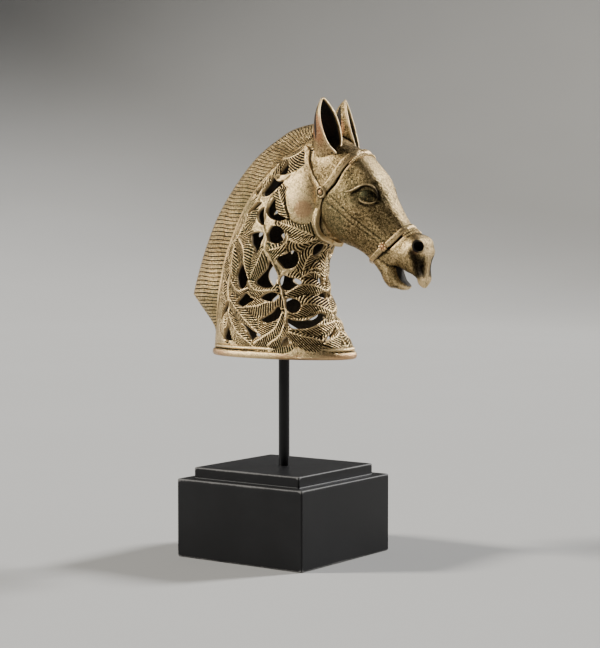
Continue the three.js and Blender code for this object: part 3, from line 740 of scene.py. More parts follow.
head = dict(
    start=(45.0, 120.0), slope=np.radians(37), squareness=0.8, lean=0.1,
    rows=[(-30, 70, 190), (70.4, 100.9, 75)], around=320, voxel=0.54, soften=(0.5, 3), reliefFrom=(0.12, 0.45),
    top=[[-30, 20], [-26, 27.5], [-19, 33], [-13.5, 33.8], [-6, 34.4], [-1, 35.3], [6.5, 36.4], [18, 35],
         [28, 32.6], [37.5, 28.5], [47.5, 23.5], [58, 19.8], [67, 17.6], [73, 17.6], [78, 18.6], [83, 17.6],
         [88, 13.2], [92, 7.7], [96, 0.8], [99.5, -5], [101, -8]],
    bottom=[[-30, -2], [-20, -10], [-5, -18], [10, -23], [21.5, -24.5], [32, -23.5], [42, -20.5], [50, -19.5],
            [60, -20.2], [68, -20.5], [72, -17], [75, -12.5], [78.6, -9], [84, -8.2], [90, -6.6], [95, -6.2],
            [99, -9.3], [101, -9.8]],
    halfWidth=[[-30, 9], [-20, 14], [-8, 17.5], [6, 19], [20, 19.5], [33, 19], [42, 17.2], [50, 15], [58, 13],
               [66, 11.8], [74, 11.6], [82, 13], [88, 12.8], [94, 10.5], [98, 7.5], [101, 2]],
)
jaw = dict(
    rows=(52, 90.8, 80), around=80,
    top=[[52, -9], [70, -7.5], [76, -10], [80, -12.6], [85, -14.8], [89, -14.9], [91.5, -15.6]],
    bottom=[[52, -19.4], [60, -20.2], [68, -22], [74, -25], [79, -25.8], [83, -23.6], [88, -21.2], [91.5, -18.2]],
    halfWidth=[[52, 8.5], [66, 9.5], [74, 9.2], [80, 7.8], [86, 5.8], [90, 3.8], [91.5, 1.8]],
)
# swellings and hollows on the head: centre (l, h), radii, turn in degrees, rise, sharpness
swellings = [
    [(17, -4), (21, 20), 0, 1.5, 4.0],          # cheek plate
    [(33.5, 19.5), (11.5, 8), 27, -1.5, 1.5],   # eye hollow
    [(31, 29.5), (9, 3.0), -20, 0.6, 1.0],      # brow bone
    [(14, 25), (7, 5), 0, -0.8, 1.0],           # temple
    [(50, 6), (15, 3.6), -8, 0.8, 1.0],         # facial crest
    [(52, 14), (13, 4.5), -20, -0.8, 1.0],      # hollow beside the nose
    [(50, -10), (12, 5), 0, -0.9, 1.0],         # hollow over the bars
    [(83.5, 14), (8.5, 7.5), 0, 1.3, 1.5],      # nostril flare
    [(92.5, 3.5), (8, 4.2), -55, -2.0, 1.2],    # hollow from the nostril to the lip
    [(97, -5), (4, 4), 0, 0.7, 1.0],            # upper lip
    [(76, 1), (8, 8), 0, 0.6, 1.0],             # side of the muzzle
]
# grooves: path of (l, h), half width, depth
grooves = [
    [[(5, -6.5), (6.5, -10.9), (8.3, -16.5), (11.3, -21.4), (15.2, -25.5)], 1.3, 2.2],   # before the throat strap
    [[(6.4, 1.5), (7.8, 7.8), (8.6, 11.7), (7.3, 17.3), (6.2, 22.9), (6.2, 27.8), (6.8, 31.1)], 1.0, 1.2],
    [[(66.2, -2.7), (67.2, 0.5), (68.4, 5.7), (69, 11.3), (69, 15.2)], 0.9, 1.2],   # before the noseband
    [[(27.3, 29.2), (30.5, 28.6), (33.8, 27.6)], 1.0, 0.8],   # brow fold
    [[(4.6, 2.1), (12.6, 2.6), (23.5, 2.4), (32, 1.8), (44, 1), (55, 1.1), (61, 0.2)], 0.4, 0.45],   # cheek strap
    [[(7, -3.2), (13.8, -3), (24.2, -2.2), (36, -2.6), (46, -2.3), (58, -2.7)], 0.4, 0.45],
    [[(73.5, -11), (79, -9.8)], 1.2, 1.2],   # corner of the mouth
]
cosSlope, sinSlope = np.cos(head["slope"]), np.sin(head["slope"])
headTop, headBottom, headHalf = through(head["top"]), through(head["bottom"]), through(head["halfWidth"])
jawTop, jawBottom, jawHalf = through(jaw["top"]), through(jaw["bottom"]), through(jaw["halfWidth"])


# x = start + l cos slope + h sin slope,  z = start - l sin slope + h cos slope
def place(l, h, y):
    x = head["start"][0] + l * cosSlope + h * sinSlope
    z = head["start"][1] - l * sinSlope + h * cosSlope
    return np.stack(np.broadcast_arrays(x, y, z), -1)


# l and h of a point: place read backwards
def charted(p):
    dx, dz = p[..., 0] - head["start"][0], p[..., 2] - head["start"][1]
    return dx * cosSlope - dz * sinSlope, dx * sinSlope + dz * cosSlope


# h = middle + half height * cos a,  y = -half width * |sin a| ^ squareness * (1 + lean * cos a)
def section(l, angle, top, bottom, half):
    t, b = top(l), bottom(l)
    s = np.sin(angle)
    h = (t + b) / 2 + (t - b) / 2 * np.cos(angle)
    y = -half(l) * np.sign(s) * np.abs(s) ** head["squareness"] * (1 + head["lean"] * np.cos(angle))
    return place(l, h, y), h


# The sum of rise * exp(-(r^2)^sharpness) over the swellings, less depth * exp(-(d / half)^2) over the grooves
def headRelief(l, h):
    rise = np.zeros(np.broadcast(l, h).shape)
    for (cl, ch), (rl, rh), turn, height, power in swellings:
        c, s = np.cos(np.radians(turn)), np.sin(np.radians(turn))
        dl, dh = l - cl, h - ch
        r = ((dl * c + dh * s) / rl) ** 2 + ((dh * c - dl * s) / rh) ** 2
        rise = rise + height * np.exp(-r ** power)
    flatPoints = np.stack(np.broadcast_arrays(l, h), -1).reshape(-1, 2)
    for points, half, depth in grooves:
        s, d, total = alongPath(flatPoints, smoothPath(points, 30))
        fade = ease(s, 0, 3) * ease(total - s, 0, 3)
        rise = rise - (depth * np.exp(-(d / half) ** 2) * fade).reshape(rise.shape)
    return rise


# section() with the skull's tables
def skullForm(l, angle):
    return section(l, angle, headTop, headBottom, headHalf)


# point = form + normal * (relief + lift), with the normal turned away from the section's middle
def skullAt(l, angle, lift=0.0):
    l, angle = np.broadcast_arrays(l, angle)
    p, h = skullForm(l, angle)
    dl = skullForm(l + 0.3, angle)[0] - skullForm(l - 0.3, angle)[0]
    da = skullForm(l, angle + 0.01)[0] - skullForm(l, angle - 0.01)[0]
    normal = unit(np.cross(dl, da))
    turn = np.sign(np.einsum("...k,...k->...", normal, p - place(l, (headTop(l) + headBottom(l)) / 2, 0.0)))
    normal = normal * np.where(turn == 0, 1, turn)[..., None]
    rise = headRelief(l, h) * ease(np.abs(np.sin(angle)), *head["reliefFrom"])
    return p + normal * (rise + lift)[..., None], normal


# Every row of l against a full turn of angles
def skull():
    l = np.concatenate([np.linspace(*row) for row in head["rows"]])[:, None]
    return lofted(skullAt(l, aroundFull(head["around"])[None])[0])


# The same with the jaw's tables and no relief
def lowerJaw():
    l = np.linspace(*jaw["rows"])[:, None]
    return lofted(section(l, aroundFull(jaw["around"])[None], jawTop, jawBottom, jawHalf)[0])


# The angle at which the skull's section has the height h
def angleOf(l, h):
    t, b = headTop(l), headBottom(l)
    return np.arccos(np.clip((h - (t + b) / 2) / ((t - b) / 2), -1, 1))


# A path of (l, h) laid on the skull
def onSkull(points, count):
    l, h = smoothPath(points, count).T
    return skullAt(l, angleOf(l, h))


# the near side's straps: paths of (x, y, height), then width and rise; rosette and knot: centre, radius; bead rows:
# l, pitch, radius; the rings of painted shadow: from the rosette's edge, half width
tack = dict(
    crown=[(25, -2, 150), (28.5, -9, 149.3), (30.3, -13, 146.6), (30.6, -14.8, 142), (32.2, -15.5, 137.1),
           (34.8, -16, 131.8), (38.4, -17, 126), (46.8, -19, 118.5)],
    brow=[(46.8, -19, 118.5), (50, -19.8, 121), (53.3, -20, 123.9), (56.3, -19.4, 127.8), (59.4, -18.3, 132.6),
          (62.4, -16.6, 137.5), (65.4, -13.9, 141.6), (68.3, -10.7, 144.2), (70.6, -6, 145.9), (71.4, 0.3, 146.4)],
    throat=[(46.8, -19, 118.5), (43.6, -18.3, 113.5), (40.6, -17.6, 108.2), (38.9, -17.5, 102.8),
            (38.3, -17.2, 97.3), (39, -16.5, 91.7), (41, -14.5, 87), (44.4, -9, 83.6), (48.6, 0.3, 82.3)],
    nose=[(76.5, 0.3, 69.6), (81, -6.2, 71.3), (87, -10, 74.8), (94.2, -11.9, 80.3), (97.4, -11.8, 82),
          (101, -11.4, 85), (105, -9.6, 89.3), (108, -5.9, 92.8), (109.6, 0.3, 94.2)],
    straps=dict(crown=(4.6, 0.975), brow=(5.0, 1.3), throat=(5.6, 1.43), nose=(3.9, 1.3)), sink=2.0,
    rosette=[(46.8, -19.2, 118.5), 4.2], knot=[(94.2, -11.9, 80.3), 3.3], knotCore=2.0, knotBall=1.25, knotBalls=7,
    rosetteProfile=[(0, -3), (0, 0.9), (-0.3, 1.5), (-0.8, 1.8), (-1.3, 1.5), (-1.7, 0.9), (-2.0, 0.9), (-2.2, 1.4),
                    (-2.8, 1.9), (-3.5, 2.1)],
    beadRows=[(7.4, 1.7, 1.15), (69.6, 1.6, 0.95), (72.2, 1.5, 0.7)], beadSpan=0.78,
    ringShadow=0.9, rings=[(-1.8, 0.45), (0.5, 0.5)], beyond=-24, seatFrom=(3, 8), outward=(0, -1.2, 0),
)
# painted shadows: dark lines painted as the shade beside the straps, under and round the eye's lids, along the cheek
# strap's lines and in the hollow below the nostril: path of (x, height), half width, strength
paintedShadows = [
    [[(50.2, 117), (53.3, 119.1), (55.9, 121.5), (58.9, 124.2), (61.1, 129.5), (63.5, 134.7), (66.3, 138.8),
      (69.2, 141)], 1.15, 1.0],
    [[(47.6, 114), (43.6, 107.4), (41.7, 101.8), (41.1, 96.1), (41.8, 90.5), (43.5, 86.2), (46, 83)], 1.5, 1.0],
    [[(30.5, 151), (33.3, 147.5), (33.6, 142.8), (34.6, 137.8), (36.8, 132.8), (40.1, 128.5),
      (44, 123.8)], 0.55, 0.9],
    [[(28.2, 138.5), (29.9, 135.2), (33.1, 130.4), (36.7, 124.3), (41.5, 118.5)], 0.4, 0.5],
    [[(96.3, 78), (98.8, 80.1), (102.7, 83.6), (106.6, 87.7), (109, 90.8)], 1.1, 1.0],
    [[(96, 77), (92, 75.2), (87.8, 73.1), (83, 71)], 1.2, 0.9],
    [[(72.5, 117.3), (76.3, 119.6), (79.6, 122.1), (82.8, 122.2), (86, 120.7), (88.8, 116.6), (90.2, 113)], 1.0, 1.0],
    [[(87.2, 120), (89, 116.6), (89.8, 113)], 1.5, 1.0],
    [[(77.5, 111.2), (79.4, 109.9), (83.2, 108.5), (87, 108.9), (89.8, 110.8)], 0.8, 0.9],
    [[(54.2, 117), (65.2, 107.8), (71.6, 102.2), (80.7, 94.6), (89.7, 87.3)], 0.35, 0.55],
    [[(54.4, 109.2), (63, 103.4), (72.6, 95.8), (85.6, 86.8), (89.7, 82.6)], 0.35, 0.5],
    [[(117.6, 76), (119.3, 72), (119.8, 67), (119.2, 61)], 3.4, 0.95],
    [[(84.2, 124.8), (86.6, 122)], 0.9, 0.6],
]
# rubbed bright and painted highlights, in the same form: the ridge of the face, the bulge, the low leaves, the poll,
# the muzzle and the lips
rubsAndHighlights = [
    [[(73, 142), (79, 137.5), (84, 131)], 5.5, 0.5], [[(84, 133), (92, 123.5), (100, 111), (107, 99.5)], 2.0, 0.12],
    [[(29, 113), (31, 103)], 8.5, 0.55], [[(-34, 16), (-20, 19), (-4, 21)], 13.0, 0.6],
    [[(38, 148), (43, 143), (50, 143)], 5.0, 0.7], [[(103.5, 73.5), (109, 76.5), (113.5, 82)], 6.0, 0.6],
    [[(122.5, 78), (124.8, 72), (124.4, 66), (122.8, 60), (120, 54.5)], 2.2, 0.9],
    [[(105, 50.5), (108.6, 52.5)], 2.6, 0.9],
]


# Each point of a path goes out to the skull or the neck's wall, whichever stands further from the middle plane
def seated(path, lift):
    l, h = charted(path)
    t, b = headTop(l), headBottom(l)
    share = np.abs((h - (t + b) / 2) / ((t - b) / 2))
    skullY = skullAt(l, angleOf(l, h))[0][:, 1] * (share < 1) * (l > tack["beyond"])
    front, level = neckFront(path[:, 2]), np.clip(path[:, 2], 2, 150)
    p = np.stack([aroundAt(path[:, 0], level), level], -1)
    neckY = onNeck(p[:, 0], level, neckRelief(p, np.full(len(p), 9.0))[0])[0][:, 1] * (path[:, 0] < front)
    on = ease(-path[:, 1], *tack["seatFrom"])
    laid = path.copy()
    laid[:, 1] = path[:, 1] * (1 - on) + np.minimum(skullY, neckY) * on
    for _ in range(3):
        laid[1:-1, 1] = (laid[:-2, 1] + 2 * laid[1:-1, 1] + laid[2:, 1]) / 4
    normal = unit(laid - place(l, (t + b) / 2, 0.0))
    normal = unit(normal + np.array(tack["outward"]) * on[:, None])
    return laid + normal * lift, normal


# A low band carried along its path, rounded over and steeper along one edge
def strap(points, width, rise, sink, count=110):
    path, normal = seated(smoothPath(points, count), 0.0)
    half = width / 2
    profile = [(-half, -sink), (-half - 0.05, 0.45 * rise), (-half + 0.12, 0.8 * rise), (-half + 0.45, rise),
               (-half + 0.9, rise * 1.1), (-half * 0.35, rise * 1.14), (0, rise * 1.1), (half * 0.4, rise),
               (half * 0.7, rise * 0.78), (half * 0.9, rise * 0.45), (half, 0), (half, -sink)]
    return carried(path, normal, profile)


# A round section of radius * (0.82 + 0.22 cos(2 pi run / pitch)), which swells once for each bead
def beads(path, normal, radius, pitch):
    size = 0.82 + 0.22 * np.cos(2 * np.pi * runAlong(path) / pitch)
    return carried(path, normal, ovalProfile(radius, radius, radius, 12), size)


# A low round stud: point = centre + r (cos a * side + sin a * up) + h * normal, for the profile's (r, h)
def stud(centre, normal, profile, count=36):
    normal = unit(np.array(normal, float))
    side = unit(np.cross(normal, [0, 0, 1.0]))
    up = np.cross(side, normal)
    a = aroundFull(count)[:, None]
    return lofted(np.array([centre + r * (np.cos(a) * side + np.sin(a) * up) + h * normal for r, h in profile]))


# An ellipsoid on three axes: radii * (sin a cos b, sin a sin b, cos a)
def ball(centre, radii, rows=40, around=60, axes=np.eye(3)):
    a = np.linspace(0.02, np.pi - 0.02, rows)[:, None]
    b = aroundFull(around)[None]
    sphere = np.stack(np.broadcast_arrays(np.sin(a) * np.cos(b), np.sin(a) * np.sin(b), np.cos(a)), -1)
    return lofted(np.array(centre) + (sphere * radii) @ axes)


eye = dict(
    centre=(33.0, 19.7), turn=24, half=(7.0, 5.0), depth=4.6, sink=2.5, upperLid=(0.85, 1.5), lowerLid=(0.55, 0.9),
    upper=[(19.6, 12.6), (22, 15.6), (23.9, 19.8), (26, 23.2), (28.4, 25.3), (31.8, 26), (35.8, 24.8), (40, 22)],
    lower=[(29.5, 14.6), (31.8, 14), (35.4, 15), (38.4, 17.2), (40.2, 20)],
)


# An ellipsoid set in the skull, its long axis turned along the eye
def eyeBall():
    l, h = (np.array([v]) for v in eye["centre"])
    (centre,), (normal,) = skullAt(l, angleOf(l, h), np.array([-eye["sink"]]))
    turn = np.radians(eye["turn"])
    along = unit(place(np.cos(turn), np.sin(turn), 0.0) - place(0.0, 0.0, 0.0))
    along = unit(along - normal * (along @ normal))
    return ball(centre, (*eye["half"], eye["depth"]), 30, 48, np.array([along, np.cross(normal, along), normal]))


# A bead along the eye's edge, of size 0.25 + 0.75 sqrt(sin(pi t)), so that it thins out at both ends
def lid(points, half, rise, count=50):
    path, normal = onSkull(points, count)
    size = 0.25 + 0.75 * np.sqrt(np.clip(np.sin(np.pi * np.linspace(0, 1, count)), 0, 1))
    return carried(path, normal, ovalProfile(half, rise, 2.0, 12), size)


ear = dict(
    foot=(55.9, -13.5, 145.6), tip=(43.8, -14.2, 185.0), facing=(0.94, -0.34, 0.10), wall=1.0,
    rows=110, around=44, cupPower=0.8, bead=0.75, beadIn=0.2, beadOut=0.1, beadRows=60, beadSteps=140,
    rim=[[-0.25, 2.0], [0, 1.4], [0.11, 4.6], [0.26, 7.0], [0.5, 7.9], [0.69, 7.0], [0.85, 4.5], [0.95, 2.0],
         [1, 0.3]],
    girth=[[-0.25, 9.0], [0, 9.0], [0.26, 8.6], [0.5, 8.1], [0.69, 7.1], [0.85, 4.6], [0.95, 2.1], [1, 0.4]],
    back=[[-0.25, 23], [0, 23.5], [0.26, 22], [0.5, 17.5], [0.69, 13], [0.85, 8.5], [0.95, 4], [1, 0.6]],
    cup=[[-0.25, -0.4], [0, -0.2], [0.1, 5], [0.3, 10], [0.6, 9], [0.85, 5], [0.95, 1.6], [1, 0.1]],
)


# The ear's own axes: up from foot to tip, ahead out of its cup, and across
def earFrame():
    foot, tip = np.array(ear["foot"]), np.array(ear["tip"])
    axis = unit(tip - foot)
    ahead = np.array(ear["facing"])
    ahead = unit(ahead - axis * (ahead @ axis))
    return foot, tip - foot, ahead, np.cross(axis, ahead)


# A leaf-shaped cup: each ring goes round the back, across = sin a * width and depth = -back cos a, and home
# inside it, across = -sin a * (rim - wall) and depth = -cup (cos a)^0.8
def earShell():
    foot, axis, ahead, across = earFrame()
    t = np.linspace(-0.25, 1, ear["rows"])[:, None]
    rim, girth, back, cup = (through(ear[key])(t) for key in ("rim", "girth", "back", "cup"))
    a = np.linspace(-np.pi / 2, np.pi / 2, ear["around"])[None]
    u = np.cos(a)
    outer = np.stack([np.sin(a) * (rim + (girth - rim) * (1 - (1 - u) ** 2)), -back * u], -1)
    wall = ear["wall"] * np.clip(rim / 3, 0, 1)
    inner = np.stack(np.broadcast_arrays(-np.sin(a) * (rim - wall), -cup * u ** ear["cupPower"]), -1)
    ring = np.concatenate([outer, inner], 1)
    return lofted(foot + axis * t[..., None] + ring[..., :1] * across + ring[..., 1:] * ahead)


# The bead round the cup's edge: up one side and down the other, across = -+ (rim - beadIn)
def earBead():
    foot, axis, ahead, across = earFrame()
    up = np.linspace(0.0, 1, ear["beadRows"])
    t, way = np.append(up, up[-2::-1]), np.repeat([-1, 1], [len(up), len(up) - 1])
    path = (foot + axis * t[:, None] + across * (way * (through(ear["rim"])(t) - ear["beadIn"]))[:, None]
            + ahead * ear["beadOut"])
    path = smoothPath(path[::3], ear["beadSteps"])
    return carried(path, np.tile(ahead, (len(path), 1)), ovalProfile(ear["bead"], ear["bead"], ear["bead"], 10))


nostril = dict(centre=(84.3, 14.3), radius=3.8, depth=7.5, lean=0.35)


# The nostril's centre on the skin and the way out of it, which leans ahead of the skin's normal
def nostrilAt():
    l, h = (np.array([v]) for v in nostril["centre"])
    (centre,), (normal,) = skullAt(l, angleOf(l, h))
    return centre, unit(normal + [nostril["lean"], 0, 0])


# The tool that cuts the nostril: a stud that widens outwards, profile in shares of radius and depth
def nostrilPlug():
    centre, aim = nostrilAt()
    r, deep = nostril["radius"], nostril["depth"]
    return stud(centre, aim, [(0.3, -deep), (r * 0.7, -deep * 0.8), (r * 0.95, -3), (r, -0.6), (r * 1.12, 0.6),
                              (r * 1.5, 3.0), (r * 1.5, 5.0)])


hollows = dict(
    cupEdge=0.35, cupFrom=(0.0, 0.8), cupDeeper=0.7, cupFoot=(0.0, 0.06), cupTop=0.97, holeFrom=(0.0, 1.2),
    holeWider=1.25, holeDepth=12, mouth=(73, 97), mouthOver=0.8, mouthSides=(-12.5, -9.5), neckIn=1.2, neckTop=145,
    chestIn=1.5,
)


# 1 inside the ear's cup, the nostril, the mouth and the neck's hollow, 0 outside, for points of the near side; the
# bronze paints what is marked here dark, as painted shade
def headHollow(p):
    v = hollows
    foot, axis, ahead, across = earFrame()
    q = p - foot
    t = q @ axis / (axis @ axis)
    s, f = (q - axis * t[:, None]) @ across, (q - axis * t[:, None]) @ ahead
    rim, deep = through(ear["rim"])(t), through(ear["cup"])(t)
    cup = (np.abs(s) < rim - v["cupEdge"]) * ease(-f, *v["cupFrom"]) * (-f < deep + v["cupDeeper"])
    cup = cup * ease(t, *v["cupFoot"]) * (t < v["cupTop"])
    centre, aim = nostrilAt()
    deep = -(p - centre) @ aim
    away = np.linalg.norm((p - centre) + deep[:, None] * aim, axis=1)
    hole = ease(deep, *v["holeFrom"]) * (away < nostril["radius"] * v["holeWider"]) * (deep < v["holeDepth"])
    l, h = charted(p)
    low, high = v["mouth"]
    gap = (l > low) & (l < high) & (h < headBottom(l) + v["mouthOver"]) & (h > jawTop(l) - v["mouthOver"])
    mouth = gap * ease(-np.abs(p[:, 1]), *v["mouthSides"])
    front, back = neckFront(p[:, 2]), neckBack(p[:, 2])
    c = np.clip((p[:, 0] - (front + back) / 2) / ((front - back) / 2), -1, 1)
    wall = neckHalf(p[:, 2]) * np.sqrt(1 - c * c) * (1 + neck["lean"] * c)
    inside = (np.abs(p[:, 1]) < wall - v["neckIn"]) & (p[:, 2] < v["neckTop"])
    inside = inside & (p[:, 0] < front - v["chestIn"]) & (p[:, 0] > back)
    return np.max([cup, hole, mouth, inside * 1.0], 0)


# (x, y, z) becomes (x, -|y|, z)
def onNearSide(p):
    return np.stack([p[:, 0], -np.abs(p[:, 1]), p[:, 2]], -1)


# How strongly a set of lines marks each point: the largest strength * exp(-(distance / half)^power)
def lineMarks(p, lines, power):
    p = onNearSide(p)
    shade = np.zeros(len(p))
    for points, half, strength in lines:
        path = smoothPath([(x, -15.0, z) for x, z in points], 60)
        path = seated(path, 0.0)[0]
        reach = [2.2 * half, 8, 2.2 * half]
        close = np.flatnonzero(((p > path.min(0) - reach) & (p < path.max(0) + reach)).all(1))
        if len(close):
            away = np.linalg.norm((p[close, None] - path[None]) * [1, 0.12, 1], axis=2).min(1)
            shade[close] = np.maximum(shade[close], strength * np.exp(-(away / half) ** power))
    return shade


# Where the bronze is ruddy: spots of (x, height), radius
ruddySpots = [[(46.8, 118.5), 2.6], [(31, 106), 10], [(41, 165), 12], [(119.5, 76.5), 2.4], [(94.2, 80.3), 4]]


# The largest ease(radius - distance) over the spots
def ruddyAt(p):
    return np.max([ease(r - np.hypot(p[:, 0] - x, p[:, 2] - z), 0, r * 0.6) for (x, z), r in ruddySpots], 0)


# Every mark that the bronze reads, for a piece of the casting: painted shadow lines, rubs with painted highlights,
# ruddy spots, hollows painted in shade, and wear with painted light
def marked(thing, spread, scale, hollow=None, shadowShare=1.0):
    p = castPoints(thing)
    setMarks(thing, seam=lineMarks(p, paintedShadows, 3) * shadowShare, rub=lineMarks(p, rubsAndHighlights, 2), ruddy=ruddyAt(p))
    if hollow is not None:
        setMarks(thing, hollow=hollow)
    markWearAndPaintedLight(thing, spread, scale)
    return thing


# The two walls of the neck, the far one a mirror image of the near one
def buildNeck():
    part, vein, cover, hollow = neckSide()
    for name, side in (("neck_near", part), ("neck_far", mirrored(part))):
        thing = castOf(name, [side])
        setMarks(thing, vein=vein, cover=cover)
        # the wall's inner face is marked hollow and painted dark as shade
        yield marked(thing, spread=2, scale=0.42, hollow=hollow)


# the swelling between the ears, and the neck's hollow: (height, how much smaller than the wall's inner face)
poll = dict(centre=(30, 0, 147), radii=(13, 11.5, 11))
cavity = dict(
    levels=[(-4, 0), (10, 0), (30, 0), (50, 0), (70, 0), (86, 0), (96, 0), (105, 0), (114, 0), (124, 0), (132, 0.5),
            (139, 2), (144, 5)],
    around=96, overlap=0.2, skin=0.3, skinShare=0.25, behindFrom=(1, 4),
)


# Rings at each level: the neck's form moved in by the wall, or only just under the skin where the head stands behind
def cavityPlug():
    c = cavity
    angle = aroundFull(c["around"])
    rings = []
    for level, less in c["levels"]:
        around, up = neckSteps(angle, level)
        skin = neckAt(angle, level)
        behind = through(neck["strapLine"])(level) - skin[:, 0]
        behind = ease(behind, *c["behindFrom"]) * (level > neck["buriedAbove"])
        inset = (neck["wall"] - c["overlap"] + less) * (1 - behind) + (c["skin"] + c["skinShare"] * less) * behind
        rings.append(skin - unit(np.cross(up, around)) * inset[:, None])
    return lofted(np.array(rings))


# Skull, jaws and ears grow into one skin, then the neck's hollow and the nostrils are cut out
def buildHead():
    thing = castOf("head", [skull(), lowerJaw(), ball(**poll)] + bothSides(earShell()))
    remesh = thing.modifiers.new("cast", "REMESH")
    remesh.mode = "VOXEL"
    remesh.voxel_size = head["voxel"] * metre
    smooth = thing.modifiers.new("soft", "SMOOTH")
    smooth.factor, smooth.iterations = head["soften"]
    applyAll(thing)
    plug = castOf("hollow", [cavityPlug()] + bothSides(nostrilPlug()))
    cut = thing.modifiers.new("hollow", "BOOLEAN")
    cut.operation, cut.object, cut.solver = "DIFFERENCE", plug, "MANIFOLD"
    applyAll(thing)
    bpy.data.objects.remove(plug)
    return marked(thing, spread=5, scale=0.40, hollow=headHollow(onNearSide(castPoints(thing))))


# Straps, rosettes, knots and beads lie on the head and stay crisp; a ring of painted shadow goes round each rosette
def buildHalter():
    t = tack
    (rosetteAt,), (rosetteUp,) = seated(np.array(t["rosette"][0])[None], 0.5)
    (knotAt,), (knotUp,) = seated(np.array(t["knot"][0])[None], 0.3)
    r, q = t["rosette"][1], t["knot"][1]
    parts = bothSides(stud(rosetteAt, rosetteUp, [(r + out, h) for out, h in t["rosetteProfile"]]))
    parts += bothSides(ball(knotAt + 0.6 * knotUp, t["knotCore"], 16, 24))
    side = unit(np.cross(knotUp, [0, 0, 1.0]))
    for a in aroundFull(t["knotBalls"]):
        spot = knotAt + (q - 1) * (np.cos(a) * side + np.sin(a) * np.cross(side, knotUp)) + 0.9 * knotUp
        parts += bothSides(ball(spot, t["knotBall"], 14, 20))
    for key, (width, rise) in t["straps"].items():
        parts += bothSides(strap(t[key], width, rise, t["sink"]))
    angle = np.linspace(-t["beadSpan"], t["beadSpan"], 160)
    for at, pitch, radius in t["beadRows"]:
        parts.append(beads(*skullAt(at + 0 * angle, angle, 0.2 + 0 * angle), radius, pitch))
    # the halter itself takes no painted shadow lines
    thing = marked(castOf("halter", parts), spread=2, scale=0.3, shadowShare=0.0)
    p = castPoints(thing)
    away = np.hypot(p[:, 0] - t["rosette"][0][0], p[:, 2] - t["rosette"][0][2])
    rings = np.max([np.exp(-((away - r - out) / half) ** 2) for out, half in t["rings"]], 0)
    # the rings round each rosette are painted shadow
    setMarks(thing, seam=t["ringShadow"] * rings)
    return thing


# Lids and the beads round the ears
def buildRims():
    lids = bothSides(lid(eye["upper"], *eye["upperLid"])) + bothSides(lid(eye["lower"], *eye["lowerLid"]))
    return marked(castOf("lids_and_rims", lids + bothSides(earBead())), spread=2, scale=0.3)


# The two eyeballs
def buildEyes():
    return marked(castOf("eyes", bothSides(eyeBall())), spread=2, scale=0.3)


# The mane: a blade between the crest and the root line, ribbed along its strands

mane = dict(
    crest=[(30, 167.5), (27, 168), (14, 165.7), (2.7, 161.6), (-23, 145.8), (-44, 124.4), (-60.6, 101.6),
           (-71.5, 79.2), (-78.5, 61), (-83.4, 45.5), (-83.2, 43), (-73, 32), (-62, 21.5), (-57, 17)],
    rootLevel=[[17, 17], [44, 44], [79, 78], [101.6, 100], [124.4, 121.5], [135, 131], [145.8, 140], [155, 146.5],
               [161.6, 151], [165.7, 153.5], [168, 155]],
    rows=560, columns=46, edgeHalf=2.4, edgePower=12, swellPower=0.78, rootOver=0.2, inside=(3.6, 0.55, 0.5),
    ribPitch=3.3, ribDepth=0.68, ribPower=9, edgeShare=0.3, wander=0.45, strandsPerRib=3, strandWander=0.6,
)


# y = edge * sqrt(1 - share^12) + (root - edge) * (1 - share^2)^0.78 for the share of the way from root to crest,
# less a groove of depth * |cos(pi run / pitch)|^9 between every two ribs
def buildMane():
    m = mane
    crest = smoothPath(m["crest"], m["rows"])
    run = runAlong(crest)[:, None]
    level = through(m["rootLevel"])(crest[:, 1])
    rootX = through([[17, -56]] + rootPoints)(level)
    rootHalf = -neckAt(angleAt(rootX, level), level)[:, 1] + m["rootOver"]
    root = np.stack([rootX, level], -1)
    share = np.linspace(0, 1, m["columns"])[None]
    y = (m["edgeHalf"] * np.sqrt(np.clip(1 - share ** m["edgePower"], 0, 1))
         + (rootHalf[:, None] - m["edgeHalf"]) * np.clip(1 - share ** 2, 0, 1) ** m["swellPower"])
    phase = run / m["ribPitch"] + m["wander"] * np.sin(share * 7 + run * 0.13) * share * (1 - share)
    groove = -m["ribDepth"] * np.abs(np.cos(np.pi * phase)) ** m["ribPower"] * ease(share, 0.02, 0.12)
    groove = groove * ease(run, 0, 4) * ease(run[-1] - run, 0, 4)
    y = np.maximum(y + groove * ease(1 - share, 0, 0.04), 0)
    back = groove * (1 - ease(1 - share, 0, 0.06)) * m["edgeShare"]
    flat = root[:, None] + (crest - root)[:, None] * share[..., None] + back[..., None] * unit(crest - root)[:, None]
    near = np.stack([flat[..., 0], -y, flat[..., 1]], -1)
    ahead, narrower, lower = m["inside"]
    inside = np.stack([rootX + ahead, -rootHalf * narrower, level - lower], -1)[:, None]
    ring = np.concatenate([inside, near, (near * [1, -1, 1])[:, ::-1][:, 1:], inside * [1, -1, 1]], 1)
    thing = castOf("mane", [lofted(ring)])
    per = ring.shape[1]
    strand = run / m["ribPitch"] * m["strandsPerRib"] + m["strandWander"] * np.sin(np.linspace(0, 9, per))[None]
    # the root's columns, inside the neck, are marked hollow: painted shade
    paintedShade = np.zeros((len(ring), per))
    paintedShade[:, [0, 1, -2, -1]] = 1
    setMarks(thing, strand=np.append(strand, [0, 0]), hollow=np.append(paintedShade, [0, 0]))
    markWearAndPaintedLight(thing, spread=3, scale=0.27)
    return thing


# Collar, seat, rod and base

